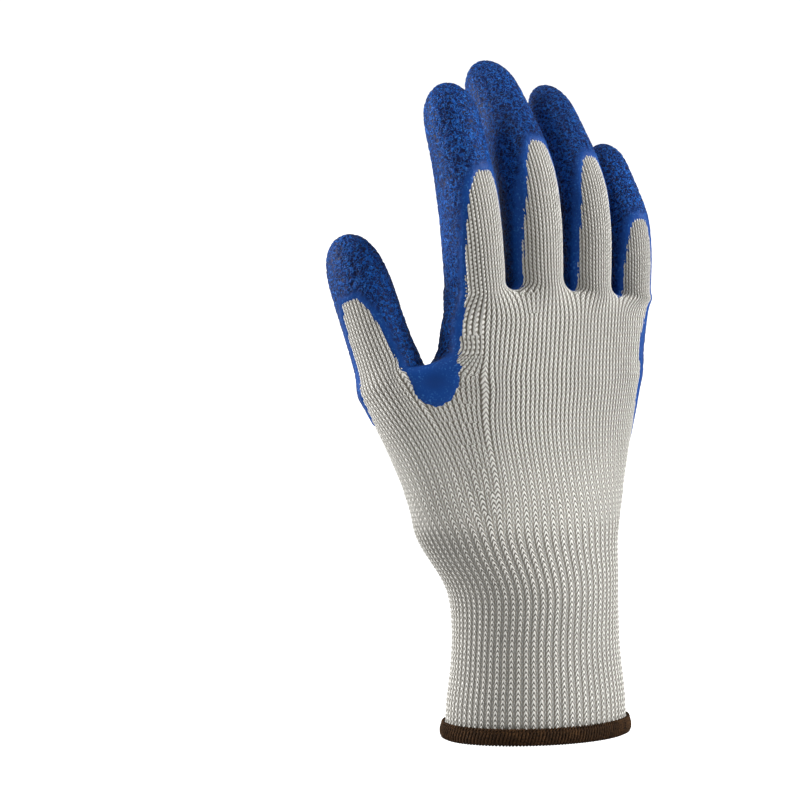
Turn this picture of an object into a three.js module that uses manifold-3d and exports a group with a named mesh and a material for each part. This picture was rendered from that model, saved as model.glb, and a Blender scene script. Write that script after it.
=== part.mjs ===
// A seamless knitted work glove for the right hand, dipped in crinkled latex over palm and fingertips.
// Frame: millimetres, the cuff's mouth is centred on the origin and faces -Z, the fingers point to +Z,
// the back of the hand faces -Y and the thumb is on the -X side.
// The knit is one surface of columns and rows: a tube for the cuff and the lower palm, which parts into
// the thumb and a four-finger tube, which parts into the fingers. Every wall is an offset of that surface.
import * as THREE from "three";
import { mergeVertices } from "three/addons/utils/BufferGeometryUtils.js";
import Module from "manifold-3d";

const wasm = await Module();
wasm.setup();

// Driving sizes of the knit's outer face
const CUFF_HEIGHT = 73.5;
const WRIST_WIDTH = 62;
const WRIST_DEPTH = 43;
const THUMB_WEB_RISE = 55;
const FINGER_WEB_RISE = 28;
const PALM_WIDTH = 80;
const PALM_DEPTH = 33;
const FINGER_LENGTH = 86;
const FINGER_WIDTH = 19.2;
const THUMB_LENGTH = 54;
const THUMB_WIDTH = 21.4;

// Walls and clearances
const KNIT_WALL = 1.4;
const COAT_WALL = 0.8;
const COAT_GAP = 0.3;
const HEM_HEIGHT = 6.2;
const HEM_WALL = 1.7;
const HEM_GAP = 0.3;
const HEM_ROUND = 0.6;

// Form of the hand
const FINGER_CURL = 42;
const PALM_SQUARENESS = 2.4;
const PALM_CORNER = 22;

// Places worked out from the sizes
const THUMB_WEB = CUFF_HEIGHT + THUMB_WEB_RISE;
const FINGER_WEB = THUMB_WEB + FINGER_WEB_RISE;
const KNIT_BOTTOM = HEM_WALL + HEM_GAP;

// Columns of the surface across the back or front of one finger, and round the side of a tube
const FACE_COLUMNS = 3;
const SIDE_COLUMNS = 3;
const FINGER_COUNT = 4;
const FACE_CORNER = 45;

// Fineness of the walk along a tube, of the cutting forms and of the merge of their corners
const WALK_STEPS = 40;
const WEDGE_PARTS = 3;
const BACK_PARTS = 4;
const DIP_PARTS = 14;
const MERGE_DISTANCE = 1e-4;

// Cuff sections. rise: share of the cuff's height. width, depth: shares of the wrist's.
// shift: share of the wrist's width that the section moves towards the little finger.
const CUFF_SECTIONS = [
  { rise: 0.0, width: 1.09, depth: 1.11, shift: 0.012 },
  { rise: 0.15, width: 1.09, depth: 1.11, shift: 0.012 },
  { rise: 0.3, width: 1.05, depth: 1.06, shift: 0.013 },
  { rise: 0.45, width: 1.02, depth: 1.02, shift: 0.01 },
  { rise: 0.59, width: 1.02, depth: 1.0, shift: 0.005 },
  { rise: 0.71, width: 1.05, depth: 0.98, shift: -0.01 },
  { rise: 0.82, width: 1.13, depth: 0.94, shift: -0.045 },
  { rise: 0.91, width: 1.21, depth: 0.91, shift: -0.085 },
  { rise: 1.0, width: 1.28, depth: 0.89, shift: -0.11 },
];

// Rows of the lower palm, each a share of the way from the cuff's last section to the parting of the thumb
const LOWER_PALM_ROWS = [0.22, 0.45, 0.68, 0.87];

// Four-finger sections. rise: share of the way from the thumb's parting to the fingers'. width, depth: shares
// of the palm's. shift: share of the palm's width towards the little finger. forward: share of its depth.
const PALM_SECTIONS = [
  { rise: 0.0, width: 1.0, depth: 1.06, shift: 0.03, forward: 0.05 },
  { rise: 0.25, width: 0.985, depth: 1.0, shift: 0.045, forward: 0.06 },
  { rise: 0.5, width: 0.985, depth: 0.92, shift: 0.062, forward: 0.07 },
  { rise: 0.76, width: 0.99, depth: 0.82, shift: 0.082, forward: 0.085 },
];

// Fingers, from the index finger to the little one.
// across: share of the palm's width from the wrist's middle. forward: share of the palm's depth.
// web: share of a finger's width that the root lies above the parting. length, width, curl: shares of a finger's.
// lean: degrees towards the little finger. bare: share of the finger's length that shows knit on its back.
// open: share of the full angle that is bare.
const FINGERS = [
  {
    across: -0.264, forward: 0.14, web: 0, length: 0.868, width: 1.03,
    curl: 0.42, lean: -4.4, bare: 0.545, open: 1,
  },
  {
    across: 0.015, forward: 0.1, web: 0.05, length: 1.05, width: 1.03,
    curl: 0.96, lean: -1.4, bare: 0.52, open: 1,
  },
  {
    across: 0.275, forward: 0.08, web: -0.06, length: 0.977, width: 0.88,
    curl: 1, lean: 0.6, bare: 0.52, open: 1,
  },
  {
    across: 0.51, forward: 0.14, web: -0.15, length: 0.705, width: 0.76,
    curl: 0.94, lean: 1.6, bare: 0.42, open: 0.8,
  },
];

// Finger sections. along: share of the length from the root. width, depth: shares of the finger's width.
// bend: share of the full curl that the finger has reached there.
const FINGER_SECTIONS = [
  { along: 0, width: 1.04, depth: 1.32, bend: 0 },
  { along: 0.032, width: 0.975, depth: 1.29, bend: 0 },
  { along: 0.085, width: 0.97, depth: 1.26, bend: 0 },
  { along: 0.16, width: 0.98, depth: 1.24, bend: 0.01 },
  { along: 0.26, width: 0.99, depth: 1.22, bend: 0.1 },
  { along: 0.38, width: 1, depth: 1.17, bend: 0.4 },
  { along: 0.48, width: 1, depth: 1.1, bend: 0.69 },
  { along: 0.6, width: 0.97, depth: 1, bend: 0.96 },
  { along: 0.72, width: 0.95, depth: 0.94, bend: 1 },
  { along: 0.83, width: 0.93, depth: 0.88, bend: 1 },
  { along: 0.905, width: 0.83, depth: 0.76, bend: 1 },
  { along: 0.955, width: 0.62, depth: 0.56, bend: 1 },
  { along: 0.987, width: 0.35, depth: 0.31, bend: 1 },
];

// Thumb sections. along: share of the length from the parting. width, depth: shares of the thumb's width.
// lean: degrees away from the hand. tilt: degrees forward. roll: degrees that its back turns outward.
const THUMB_SECTIONS = [
  { along: 0.0, width: 1.2, depth: 1.2, lean: 14, tilt: 20, roll: 45 },
  { along: 0.1, width: 1.06, depth: 1.08, lean: 13, tilt: 19, roll: 48 },
  { along: 0.24, width: 1.0, depth: 1.0, lean: 12, tilt: 18, roll: 51 },
  { along: 0.4, width: 0.98, depth: 0.96, lean: 12, tilt: 17, roll: 54 },
  { along: 0.56, width: 0.98, depth: 0.92, lean: 12, tilt: 17, roll: 55 },
  { along: 0.72, width: 0.95, depth: 0.86, lean: 13, tilt: 18, roll: 55 },
  { along: 0.84, width: 0.84, depth: 0.74, lean: 15, tilt: 20, roll: 55 },
  { along: 0.925, width: 0.65, depth: 0.56, lean: 16, tilt: 22, roll: 55 },
  { along: 0.98, width: 0.36, depth: 0.31, lean: 16, tilt: 22, roll: 55 },
];

// Middle of the thumb's root: across and forward as shares of the palm's width and depth, drop of its height
const THUMB_ROOT = { across: -0.61, forward: 0.43, drop: 0.05 };

// Bare knit on the back of a finger. along: share of its bare length.
// from, to: degrees round it from its back, negative towards the thumb.
const FINGER_WINDOW = [
  { along: -0.5, from: -52, to: 62 },
  { along: 0, from: -48, to: 60 },
  { along: 0.27, from: -46, to: 60 },
  { along: 0.5, from: -40, to: 60 },
  { along: 0.66, from: -34, to: 58 },
  { along: 0.8, from: -27, to: 56 },
  { along: 0.9, from: -19, to: 52 },
  { along: 0.965, from: -10, to: 46 },
  { along: 1, from: 0, to: 36 },
];

// Bare knit on the thumb. from, to: degrees round it from its back, negative away from the hand
const THUMB_WINDOW = [
  { along: -0.75, from: -80, to: 100 },
  { along: -0.4, from: -73, to: 92 },
  { along: -0.29, from: -68, to: 66 },
  { along: -0.18, from: -62, to: 50 },
  { along: 0.05, from: -45, to: 40 },
  { along: 0.3, from: -42, to: 38 },
  { along: 0.46, from: -36, to: 24 },
  { along: 0.52, from: -20, to: 6 },
];

// How far the thumb's bare part is cut outward from its middle, as a share of its width
const THUMB_WINDOW_REACH = 1.1;

// Bare knit on the back of the hand. rise: 1 at the thumb's parting, 2 at the fingers'.
// shift: share of the palm's width. from, to: degrees round the palm from the middle of its back.
const BACK_WINDOW = [
  { rise: -0.1, shift: 0.0, from: -92, to: 80 },
  { rise: 0.8, shift: 0.0, from: -92, to: 72 },
  { rise: 0.88, shift: 0.0, from: -88, to: 68 },
  { rise: 0.9, shift: 0.01, from: -78, to: 67 },
  { rise: 0.93, shift: 0.015, from: -71, to: 66 },
  { rise: 0.98, shift: 0.02, from: -66, to: 64 },
  { rise: 1.23, shift: 0.04, from: -63, to: 62 },
  { rise: 1.55, shift: 0.06, from: -61, to: 62 },
  { rise: 1.98, shift: 0.08, from: -60, to: 64 },
];

// The dip line over the heel of the palm is the lower half of an ellipse: middle, and half width and drop
const DIP_MIDDLE = CUFF_HEIGHT * 1.5;
const DIP_HALF_WIDTH = PALM_WIDTH * 0.56;
const DIP_DROP = PALM_WIDTH * 0.53;

const UP = new THREE.Vector3(0, 0, 1);

function radians(degrees) {
  return THREE.MathUtils.degToRad(degrees);
}

// Starts a surface: its points, and its faces as loops of point numbers seen from outside
function newSurface() {
  return { points: [], faces: [] };
}

function addPoints(surface, points) {
  const first = surface.points.length;
  surface.points.push(...points);
  return points.map((point, index) => first + index);
}

// Joins two loops of equal length with one face for each column
function addBand(surface, lower, upper) {
  for (let i = 0; i < lower.length; i += 1) {
    const next = (i + 1) % lower.length;
    surface.faces.push([lower[i], lower[next], upper[next], upper[i]]);
  }
}

// Closes the far end of a tube with a fan of faces
function addTip(surface, loop, tip) {
  const [apex] = addPoints(surface, [tip]);
  for (let i = 0; i < loop.length; i += 1) {
    surface.faces.push([loop[i], loop[(i + 1) % loop.length], apex]);
  }
}

// A section of the cuff, its columns spread evenly round an ellipse from the thumb's edge of the back
function cuffLoop(section) {
  const columns = 2 * (FACE_COLUMNS * (FINGER_COUNT + 1) + SIDE_COLUMNS);
  const step = (2 * Math.PI) / columns;
  const start = Math.PI + (step * SIDE_COLUMNS) / 2;
  const points = [];
  for (let i = 0; i < columns; i += 1) {
    const x = WRIST_WIDTH * (section.shift + (section.width / 2) * Math.cos(start + step * i));
    const y = WRIST_DEPTH * (section.depth / 2) * Math.sin(start + step * i);
    points.push(new THREE.Vector3(x, y, CUFF_HEIGHT * section.rise));
  }
  return points;
}

// Shares of the palm's back, from -1 to 1, where its columns stand: each finger takes its own width
function palmColumns() {
  const total = FINGERS.reduce((sum, finger) => sum + finger.width, 0);
  const shares = [-1];
  for (const finger of FINGERS) {
    for (let i = 0; i < FACE_COLUMNS; i += 1) {
      shares.push(shares[shares.length - 1] + (2 * finger.width) / total / FACE_COLUMNS);
    }
  }
  return shares;
}

// A section of the four-finger tube, squarer than an ellipse
function palmLoop(section) {
  const power = 2 / PALM_SQUARENESS;
  const corner = radians(PALM_CORNER);
  const outline = [];
  const reach = Math.cos(corner) ** power;
  for (const share of palmColumns()) {
    const x = reach * share;
    outline.push([x, -((1 - Math.abs(x) ** PALM_SQUARENESS) ** (1 / PALM_SQUARENESS))]);
  }
  for (let i = 1; i < SIDE_COLUMNS; i += 1) {
    const angle = corner * ((2 * i) / SIDE_COLUMNS - 1);
    outline.push([Math.cos(angle) ** power, Math.sign(angle) * Math.abs(Math.sin(angle)) ** power]);
  }
  const half = outline.length;
  const back = outline.slice(0, half - SIDE_COLUMNS + 1).reverse();
  const side = outline.slice(half - SIDE_COLUMNS + 1).reverse();
  outline.push(...back.map(([x, y]) => [x, -y]), ...side.map(([x, y]) => [-x, y]));
  const middle = new THREE.Vector3(PALM_WIDTH * section.shift, PALM_DEPTH * section.forward, 0);
  return outline.map(([x, y]) => new THREE.Vector3(
    middle.x + x * (PALM_WIDTH / 2) * section.width,
    middle.y + y * (PALM_DEPTH / 2) * section.depth,
    THUMB_WEB + FINGER_WEB_RISE * section.rise,
  ));
}

// Middle and directions of a tube at one place. along points to the tip, back out of the back,
// side to the hand's little finger
function frameAt(middle, along, backWish) {
  const back = backWish.clone().addScaledVector(along, -backWish.dot(along)).normalize();
  return { middle: middle.clone(), along: along.clone(), back, side: along.clone().cross(back) };
}

// A point round a frame, at an angle from its back towards its side
function roundFrame(frame, degrees, halfWidth, halfDepth) {
  return frame.middle.clone()
    .addScaledVector(frame.side, halfWidth * Math.sin(radians(degrees)))
    .addScaledVector(frame.back, halfDepth * Math.cos(radians(degrees)));
}

// A loop of columns round a frame: back, side to the little finger, front, side to the thumb
function tubeLoop(frame, width, depth) {
  const points = [];
  const arcs = [
    [-FACE_CORNER, FACE_CORNER, FACE_COLUMNS],
    [FACE_CORNER, 180 - FACE_CORNER, SIDE_COLUMNS],
    [180 - FACE_CORNER, 180 + FACE_CORNER, FACE_COLUMNS],
    [180 + FACE_CORNER, 360 - FACE_CORNER, SIDE_COLUMNS],
  ];
  for (const [from, to, columns] of arcs) {
    for (let i = 0; i < columns; i += 1) {
      points.push(roundFrame(frame, from + ((to - from) * i) / columns, width / 2, depth / 2));
    }
  }
  return points;
}

// Value of a column of a table at a share of the length
function tableValue(table, along, column) {
  const above = table.findIndex((row) => row.along >= along);
  if (above === 0) {
    return table[0][column];
  }
  if (above < 0) {
    return table[table.length - 1][column];
  }
  const [low, high] = [table[above - 1], table[above]];
  return THREE.MathUtils.mapLinear(along, low.along, high.along, low[column], high[column]);
}

// Walks along a tube from its root to a share of its length, turning as direction says.
// Returns the frame there
function walk(root, length, share, direction, backWish) {
  const middle = root.clone();
  for (let i = 0; i < WALK_STEPS; i += 1) {
    middle.addScaledVector(direction((share * (i + 0.5)) / WALK_STEPS), (length * share) / WALK_STEPS);
  }
  return frameAt(middle, direction(share), backWish(share));
}

function fingerFrame(finger, share) {
  const root = new THREE.Vector3(
    PALM_WIDTH * finger.across,
    PALM_DEPTH * finger.forward,
    FINGER_WEB + FINGER_WIDTH * finger.web,
  );
  const direction = (along) => {
    const tilt = radians(FINGER_CURL * finger.curl * tableValue(FINGER_SECTIONS, along, "bend"));
    const lean = radians(finger.lean);
    const upright = Math.cos(lean);
    return new THREE.Vector3(Math.sin(lean), Math.sin(tilt) * upright, Math.cos(tilt) * upright);
  };
  return walk(root, FINGER_LENGTH * finger.length, share, direction, () => new THREE.Vector3(0, -1, 0));
}

function thumbFrame(share) {
  const root = new THREE.Vector3(
    PALM_WIDTH * THUMB_ROOT.across,
    PALM_DEPTH * THUMB_ROOT.forward,
    THUMB_WEB - THUMB_WEB_RISE * THUMB_ROOT.drop,
  );
  const direction = (along) => {
    const lean = Math.tan(radians(tableValue(THUMB_SECTIONS, along, "lean")));
    const tilt = Math.tan(radians(tableValue(THUMB_SECTIONS, along, "tilt")));
    return new THREE.Vector3(-lean, tilt, 1).normalize();
  };
  const backWish = (along) => {
    const roll = radians(tableValue(THUMB_SECTIONS, along, "roll"));
    return new THREE.Vector3(-Math.sin(roll), -Math.cos(roll), 0);
  };
  return walk(root, THUMB_LENGTH, share, direction, backWish);
}

// Bands up a tube from its root loop, with a rounded tip
function addTube(surface, rootLoop, sections, width, frameOf) {
  let loop = rootLoop;
  for (const section of sections.slice(1)) {
    const points = tubeLoop(frameOf(section.along), width * section.width, width * section.depth);
    const next = addPoints(surface, points);
    addBand(surface, loop, next);
    loop = next;
  }
  addTip(surface, loop, frameOf(1).middle);
}

// Lower loop, thumb and four-finger tube share the points of the parting between thumb and palm
function addThumbParting(surface, below) {
  const thumbSection = THUMB_SECTIONS[0];
  const thumb = tubeLoop(thumbFrame(0), THUMB_WIDTH * thumbSection.width, THUMB_WIDTH * thumbSection.depth);
  const palm = palmLoop(PALM_SECTIONS[0]);
  const chainEnd = FACE_COLUMNS + SIDE_COLUMNS;
  const body = palm.slice(1, palm.length - SIDE_COLUMNS);
  const outer = [...thumb.slice(0, FACE_COLUMNS + 1), ...body, ...thumb.slice(chainEnd)];
  let lower = below;
  const cuffTop = below.map((index) => surface.points[index]);
  for (const share of LOWER_PALM_ROWS) {
    const next = addPoints(surface, cuffTop.map((point, i) => point.clone().lerp(outer[i], share)));
    addBand(surface, lower, next);
    lower = next;
  }
  const parting = addPoints(surface, outer);
  addBand(surface, lower, parting);
  const chain = addPoints(surface, thumb.slice(FACE_COLUMNS + 1, chainEnd));
  const palmEnd = FACE_COLUMNS + body.length + 1;
  const thumbLoop = [...parting.slice(0, FACE_COLUMNS + 1), ...chain, ...parting.slice(palmEnd)];
  const palmLoopPoints = [...parting.slice(FACE_COLUMNS, palmEnd + 1), ...chain.slice().reverse()];
  return { thumbLoop, palmLoopPoints };
}

// Web points are shared by neighbouring fingers, at the mean of the two roots
function addFingerPartings(surface, below) {
  const roots = FINGERS.map((finger) => tubeLoop(
    fingerFrame(finger, 0),
    FINGER_WIDTH * finger.width * FINGER_SECTIONS[0].width,
    FINGER_WIDTH * finger.width * FINGER_SECTIONS[0].depth,
  ));
  const size = roots[0].length;
  const loops = [];
  for (let i = 0; i < roots.length; i += 1) {
    const loop = new Array(size);
    for (let k = 0; k < size; k += 1) {
      const onLowSide = k === 0 || k > size - SIDE_COLUMNS - 1;
      if (onLowSide && i > 0) {
        const mirror = (FACE_COLUMNS + (size - k)) % size;
        loop[k] = loops[i - 1][mirror];
      } else {
        loop[k] = addPoints(surface, [roots[i][k]])[0];
      }
    }
    if (i > 0) {
      for (let k = FACE_COLUMNS; k <= FACE_COLUMNS + SIDE_COLUMNS; k += 1) {
        const mirror = (size - (k - FACE_COLUMNS)) % size;
        surface.points[loops[i - 1][k]].lerp(roots[i][mirror], 0.5);
      }
    }
    loops.push(loop);
  }
  const back = loops.flatMap((loop, i) => loop.slice(i === 0 ? 0 : 1, FACE_COLUMNS + 1));
  const last = loops[loops.length - 1];
  const side = last.slice(FACE_COLUMNS + 1, FACE_COLUMNS + SIDE_COLUMNS);
  const frontStart = FACE_COLUMNS + SIDE_COLUMNS;
  const front = loops.slice().reverse()
    .flatMap((loop, i) => loop.slice(frontStart + (i === 0 ? 0 : 1), frontStart + FACE_COLUMNS + 1));
  const thumbSide = loops[0].slice(frontStart + FACE_COLUMNS + 1);
  addBand(surface, below, [...back, ...side, ...front, ...thumbSide]);
  return loops;
}

// The knit's outer face, with the cuff's lowest loop at a given height
function handSurface(bottom) {
  const surface = newSurface();
  const sections = CUFF_SECTIONS.map(cuffLoop);
  sections[0].forEach((point) => point.setZ(bottom));
  let loop = addPoints(surface, sections[0]);
  const mouth = loop;
  for (const points of sections.slice(1)) {
    const next = addPoints(surface, points);
    addBand(surface, loop, next);
    loop = next;
  }
  const { thumbLoop, palmLoopPoints } = addThumbParting(surface, loop);
  addTube(surface, thumbLoop, THUMB_SECTIONS, THUMB_WIDTH, thumbFrame);
  loop = palmLoopPoints;
  for (const section of PALM_SECTIONS.slice(1)) {
    const next = addPoints(surface, palmLoop(section));
    addBand(surface, loop, next);
    loop = next;
  }
  addFingerPartings(surface, loop).forEach((root, i) => {
    const frameOf = (share) => fingerFrame(FINGERS[i], share);
    addTube(surface, root, FINGER_SECTIONS, FINGER_WIDTH * FINGERS[i].width, frameOf);
  });
  return { surface, mouth };
}

function faceTriangles(face) {
  return face.length === 3 ? [face] : [[face[0], face[1], face[2]], [face[0], face[2], face[3]]];
}

// Closed solid of points and triangles
function solidOf(points, triangles) {
  const vertProperties = new Float32Array(points.flatMap((point) => [point.x, point.y, point.z]));
  const triVerts = new Uint32Array(triangles.flat());
  return new wasm.Manifold(new wasm.Mesh({ numProp: 3, vertProperties, triVerts }));
}

// The hand as a solid, its face moved outward by a distance and its mouth closed flat
function handSolid(offset, bottom) {
  const { surface, mouth } = handSurface(bottom);
  const triangles = surface.faces.flatMap(faceTriangles);
  const normals = surface.points.map(() => new THREE.Vector3());
  const triangle = new THREE.Triangle();
  for (const corners of triangles) {
    triangle.setFromPointsAndIndices(surface.points, ...corners);
    const normal = triangle.getNormal(new THREE.Vector3()).multiplyScalar(triangle.getArea());
    corners.forEach((corner) => normals[corner].add(normal));
  }
  mouth.forEach((index) => normals[index].setZ(0));
  surface.points.forEach((point, i) => point.addScaledVector(normals[i].normalize(), offset));
  const centre = surface.points.length;
  surface.points.push(new THREE.Vector3(0, 0, bottom));
  mouth.forEach((index, i) => triangles.push([mouth[(i + 1) % mouth.length], index, centre]));
  return solidOf(surface.points, triangles);
}

// Solid between loops of points that all have the same number of corners
function loftSolid(loops) {
  const size = loops[0].length;
  const triangles = [];
  for (let row = 0; row + 1 < loops.length; row += 1) {
    for (let i = 0; i < size; i += 1) {
      const next = (i + 1) % size;
      const [a, b] = [row * size + i, row * size + next];
      triangles.push([a, b, b + size], [a, b + size, a + size]);
    }
  }
  const last = (loops.length - 1) * size;
  for (let i = 1; i + 1 < size; i += 1) {
    triangles.push([0, i + 1, i], [last, last + i, last + i + 1]);
  }
  return solidOf(loops.flat(), triangles);
}

// A wedge from a frame's middle out past the walls, between two angles
function wedgeLoop(frame, from, to, reach) {
  const loop = [frame.middle.clone()];
  for (let i = 0; i <= WEDGE_PARTS; i += 1) {
    loop.push(roundFrame(frame, from + ((to - from) * i) / WEDGE_PARTS, reach, reach));
  }
  return loop;
}

function fingerWindow(finger) {
  const reach = FINGER_WIDTH * finger.width;
  return loftSolid(FINGER_WINDOW.map((row) => {
    const frame = fingerFrame(finger, Math.max(row.along, 0) * finger.bare);
    frame.middle.addScaledVector(UP, Math.min(row.along, 0) * FINGER_LENGTH * finger.bare);
    return wedgeLoop(frame, row.from * finger.open, row.to * finger.open, reach);
  }));
}

function thumbWindow() {
  return loftSolid(THUMB_WINDOW.map((row) => {
    const frame = thumbFrame(Math.max(row.along, 0));
    frame.middle.addScaledVector(frame.along, Math.min(row.along, 0) * THUMB_LENGTH);
    return wedgeLoop(frame, row.from, row.to, THUMB_WIDTH * THUMB_WINDOW_REACH);
  }));
}

// Bare knit over the whole back of the hand, up to the fingers' windows
function backWindow() {
  return loftSolid(BACK_WINDOW.map((row) => {
    const height = THUMB_WEB * Math.min(row.rise, 1) + FINGER_WEB_RISE * Math.max(row.rise - 1, 0);
    const middle = new THREE.Vector3(PALM_WIDTH * row.shift, 0, height);
    const loop = [middle];
    for (let i = 0; i <= BACK_PARTS; i += 1) {
      const angle = radians(row.from + ((row.to - row.from) * i) / BACK_PARTS);
      const x = middle.x + PALM_WIDTH * Math.sin(angle);
      loop.push(new THREE.Vector3(x, -PALM_DEPTH * Math.cos(angle), middle.z));
    }
    return loop;
  }));
}

// Everything below the dip line, with the line's round form cut into its top
function belowDipLine() {
  const far = PALM_WIDTH;
  const shape = new THREE.Shape();
  shape.moveTo(-far, -far);
  shape.lineTo(far, -far);
  shape.lineTo(far, DIP_MIDDLE);
  shape.lineTo(DIP_HALF_WIDTH, DIP_MIDDLE);
  shape.absellipse(0, DIP_MIDDLE, DIP_HALF_WIDTH, DIP_DROP, 0, -Math.PI, true);
  shape.lineTo(-far, DIP_MIDDLE);
  shape.closePath();
  const geometry = new THREE.ExtrudeGeometry(shape, {
    depth: 2 * far,
    bevelEnabled: false,
    curveSegments: DIP_PARTS,
  });
  geometry.rotateX(Math.PI / 2);
  geometry.translate(0, far, 0);
  return solidOfGeometry(geometry);
}

function solidOfGeometry(geometry) {
  const bare = geometry.clone();
  bare.deleteAttribute("normal");
  bare.deleteAttribute("uv");
  const merged = mergeVertices(bare, MERGE_DISTANCE);
  const position = merged.getAttribute("position");
  const points = [];
  for (let i = 0; i < position.count; i += 1) {
    points.push(new THREE.Vector3().fromBufferAttribute(position, i));
  }
  const index = merged.getIndex().array;
  const triangles = [];
  for (let i = 0; i < index.length; i += 3) {
    triangles.push([index[i], index[i + 1], index[i + 2]]);
  }
  return solidOf(points, triangles);
}

// Overlocked edge round the cuff's mouth: a channel that takes the knit's edge between its two legs
function hemSolid() {
  const outer = HEM_GAP + HEM_WALL;
  const inner = -KNIT_WALL - HEM_GAP - HEM_WALL;
  const profile = [
    [inner, HEM_ROUND], [inner + HEM_ROUND, 0], [outer - HEM_ROUND, 0], [outer, HEM_ROUND],
    [outer, HEM_HEIGHT - HEM_ROUND], [outer - HEM_ROUND, HEM_HEIGHT],
    [HEM_GAP, HEM_HEIGHT], [HEM_GAP, HEM_WALL],
    [-KNIT_WALL - HEM_GAP, HEM_WALL], [-KNIT_WALL - HEM_GAP, HEM_HEIGHT],
    [inner + HEM_ROUND, HEM_HEIGHT], [inner, HEM_HEIGHT - HEM_ROUND],
  ];
  const edge = cuffLoop(CUFF_SECTIONS[0]);
  const halfWidth = (WRIST_WIDTH * CUFF_SECTIONS[0].width) / 2;
  const halfDepth = (WRIST_DEPTH * CUFF_SECTIONS[0].depth) / 2;
  const centre = WRIST_WIDTH * CUFF_SECTIONS[0].shift;
  const points = [];
  for (const point of edge) {
    const out = new THREE.Vector3((point.x - centre) / halfWidth ** 2, point.y / halfDepth ** 2, 0);
    out.normalize();
    for (const [offset, height] of profile) {
      points.push(point.clone().addScaledVector(out, offset).setZ(height));
    }
  }
  const triangles = [];
  for (let i = 0; i < edge.length; i += 1) {
    const next = (i + 1) % edge.length;
    for (let k = 0; k < profile.length; k += 1) {
      const turn = (k + 1) % profile.length;
      const [a, b] = [i * profile.length + k, next * profile.length + k];
      const [c, d] = [next * profile.length + turn, i * profile.length + turn];
      triangles.push([a, b, c], [a, c, d]);
    }
  }
  return solidOf(points, triangles);
}

function linerSolid() {
  return handSolid(0, KNIT_BOTTOM).subtract(handSolid(-KNIT_WALL, KNIT_BOTTOM - HEM_HEIGHT));
}

function coatSolid() {
  const below = -HEM_HEIGHT;
  let coat = handSolid(COAT_GAP + COAT_WALL, 0).subtract(handSolid(COAT_GAP, below));
  const bare = [belowDipLine(), backWindow(), thumbWindow(), ...FINGERS.map(fingerWindow)];
  for (const window of bare) {
    coat = coat.subtract(window);
  }
  return coat;
}

// Flat-shaded mesh of a solid
function meshOf(name, solid, material) {
  const { vertProperties, triVerts } = solid.getMesh();
  const geometry = new THREE.BufferGeometry();
  geometry.setAttribute("position", new THREE.BufferAttribute(new Float32Array(vertProperties), 3));
  geometry.setIndex(new THREE.BufferAttribute(new Uint32Array(triVerts), 1));
  geometry.computeVertexNormals();
  const mesh = new THREE.Mesh(geometry, material);
  mesh.name = name;
  return mesh;
}

const knit = new THREE.MeshStandardMaterial({ color: 0xcbc4ba, roughness: 0.95, metalness: 0 });
const latex = new THREE.MeshStandardMaterial({ color: 0x17499d, roughness: 0.5, metalness: 0 });
const overlock = new THREE.MeshStandardMaterial({ color: 0x4a3524, roughness: 0.9, metalness: 0 });

const glove = new THREE.Group();
glove.add(meshOf("knit_liner", linerSolid(), knit));
glove.add(meshOf("latex_coating", coatSolid(), latex));
glove.add(meshOf("cuff_hem", hemSolid(), overlock));

export default glove;
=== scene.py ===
"""Looks of a seamless knitted work glove with a crinkled latex palm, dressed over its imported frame.

The knit is grown as one surface of columns and rows with bmesh operators: a tube for the cuff and the lower
palm, which parts into the thumb and a four-finger tube, which parts into the fingers. Its columns carry the
knit's wales and its rows the courses, so the stitches run from the cuff into every finger. The latex is a
second skin over the same surface, feathered out where it ends.
"""

from __future__ import annotations

import logging
import math
from dataclasses import dataclass
from enum import Enum
from typing import Callable, Sequence

import bmesh
import bpy
import numpy as np
from mathutils import Matrix, Vector, noise

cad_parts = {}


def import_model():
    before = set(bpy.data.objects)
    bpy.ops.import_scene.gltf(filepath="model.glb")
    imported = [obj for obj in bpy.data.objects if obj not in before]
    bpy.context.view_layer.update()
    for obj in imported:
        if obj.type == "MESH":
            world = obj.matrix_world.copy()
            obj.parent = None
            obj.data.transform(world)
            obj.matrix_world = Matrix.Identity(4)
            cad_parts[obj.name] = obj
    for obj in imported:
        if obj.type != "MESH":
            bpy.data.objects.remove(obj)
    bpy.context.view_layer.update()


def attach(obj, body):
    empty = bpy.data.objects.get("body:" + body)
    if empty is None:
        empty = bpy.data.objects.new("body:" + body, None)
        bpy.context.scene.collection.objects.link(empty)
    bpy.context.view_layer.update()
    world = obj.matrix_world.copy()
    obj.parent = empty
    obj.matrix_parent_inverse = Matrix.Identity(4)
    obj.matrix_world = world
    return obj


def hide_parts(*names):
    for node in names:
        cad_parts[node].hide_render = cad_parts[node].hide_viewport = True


LOG = logging.getLogger("glove")
MM = 0.001

# Rounds that fit the cage to the form once it is smoothed, and how often the lining's faces are split
FIT_ROUNDS = 4
LINING_LEVELS = 2

Loop = list[bmesh.types.BMVert]


@dataclass(frozen=True)
class CuffRow:
    """Section of the cuff: rise is a share of its height, width and depth of the wrist's, shift of its width."""

    rise: float
    width: float
    depth: float
    shift: float


@dataclass(frozen=True)
class PalmRow:
    """Section of the four-finger tube: rise is a share of the way from the thumb's parting to the fingers'."""

    rise: float
    width: float
    depth: float
    shift: float
    forward: float


@dataclass(frozen=True)
class FingerRow:
    """Section of a finger: along is a share of its length, bend the share of its curl reached there."""

    along: float
    width: float
    depth: float
    bend: float


@dataclass(frozen=True)
class ThumbRow:
    """Section of the thumb: lean is degrees away from the hand, tilt degrees forward, roll degrees outward."""

    along: float
    width: float
    depth: float
    lean: float
    tilt: float
    roll: float


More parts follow.
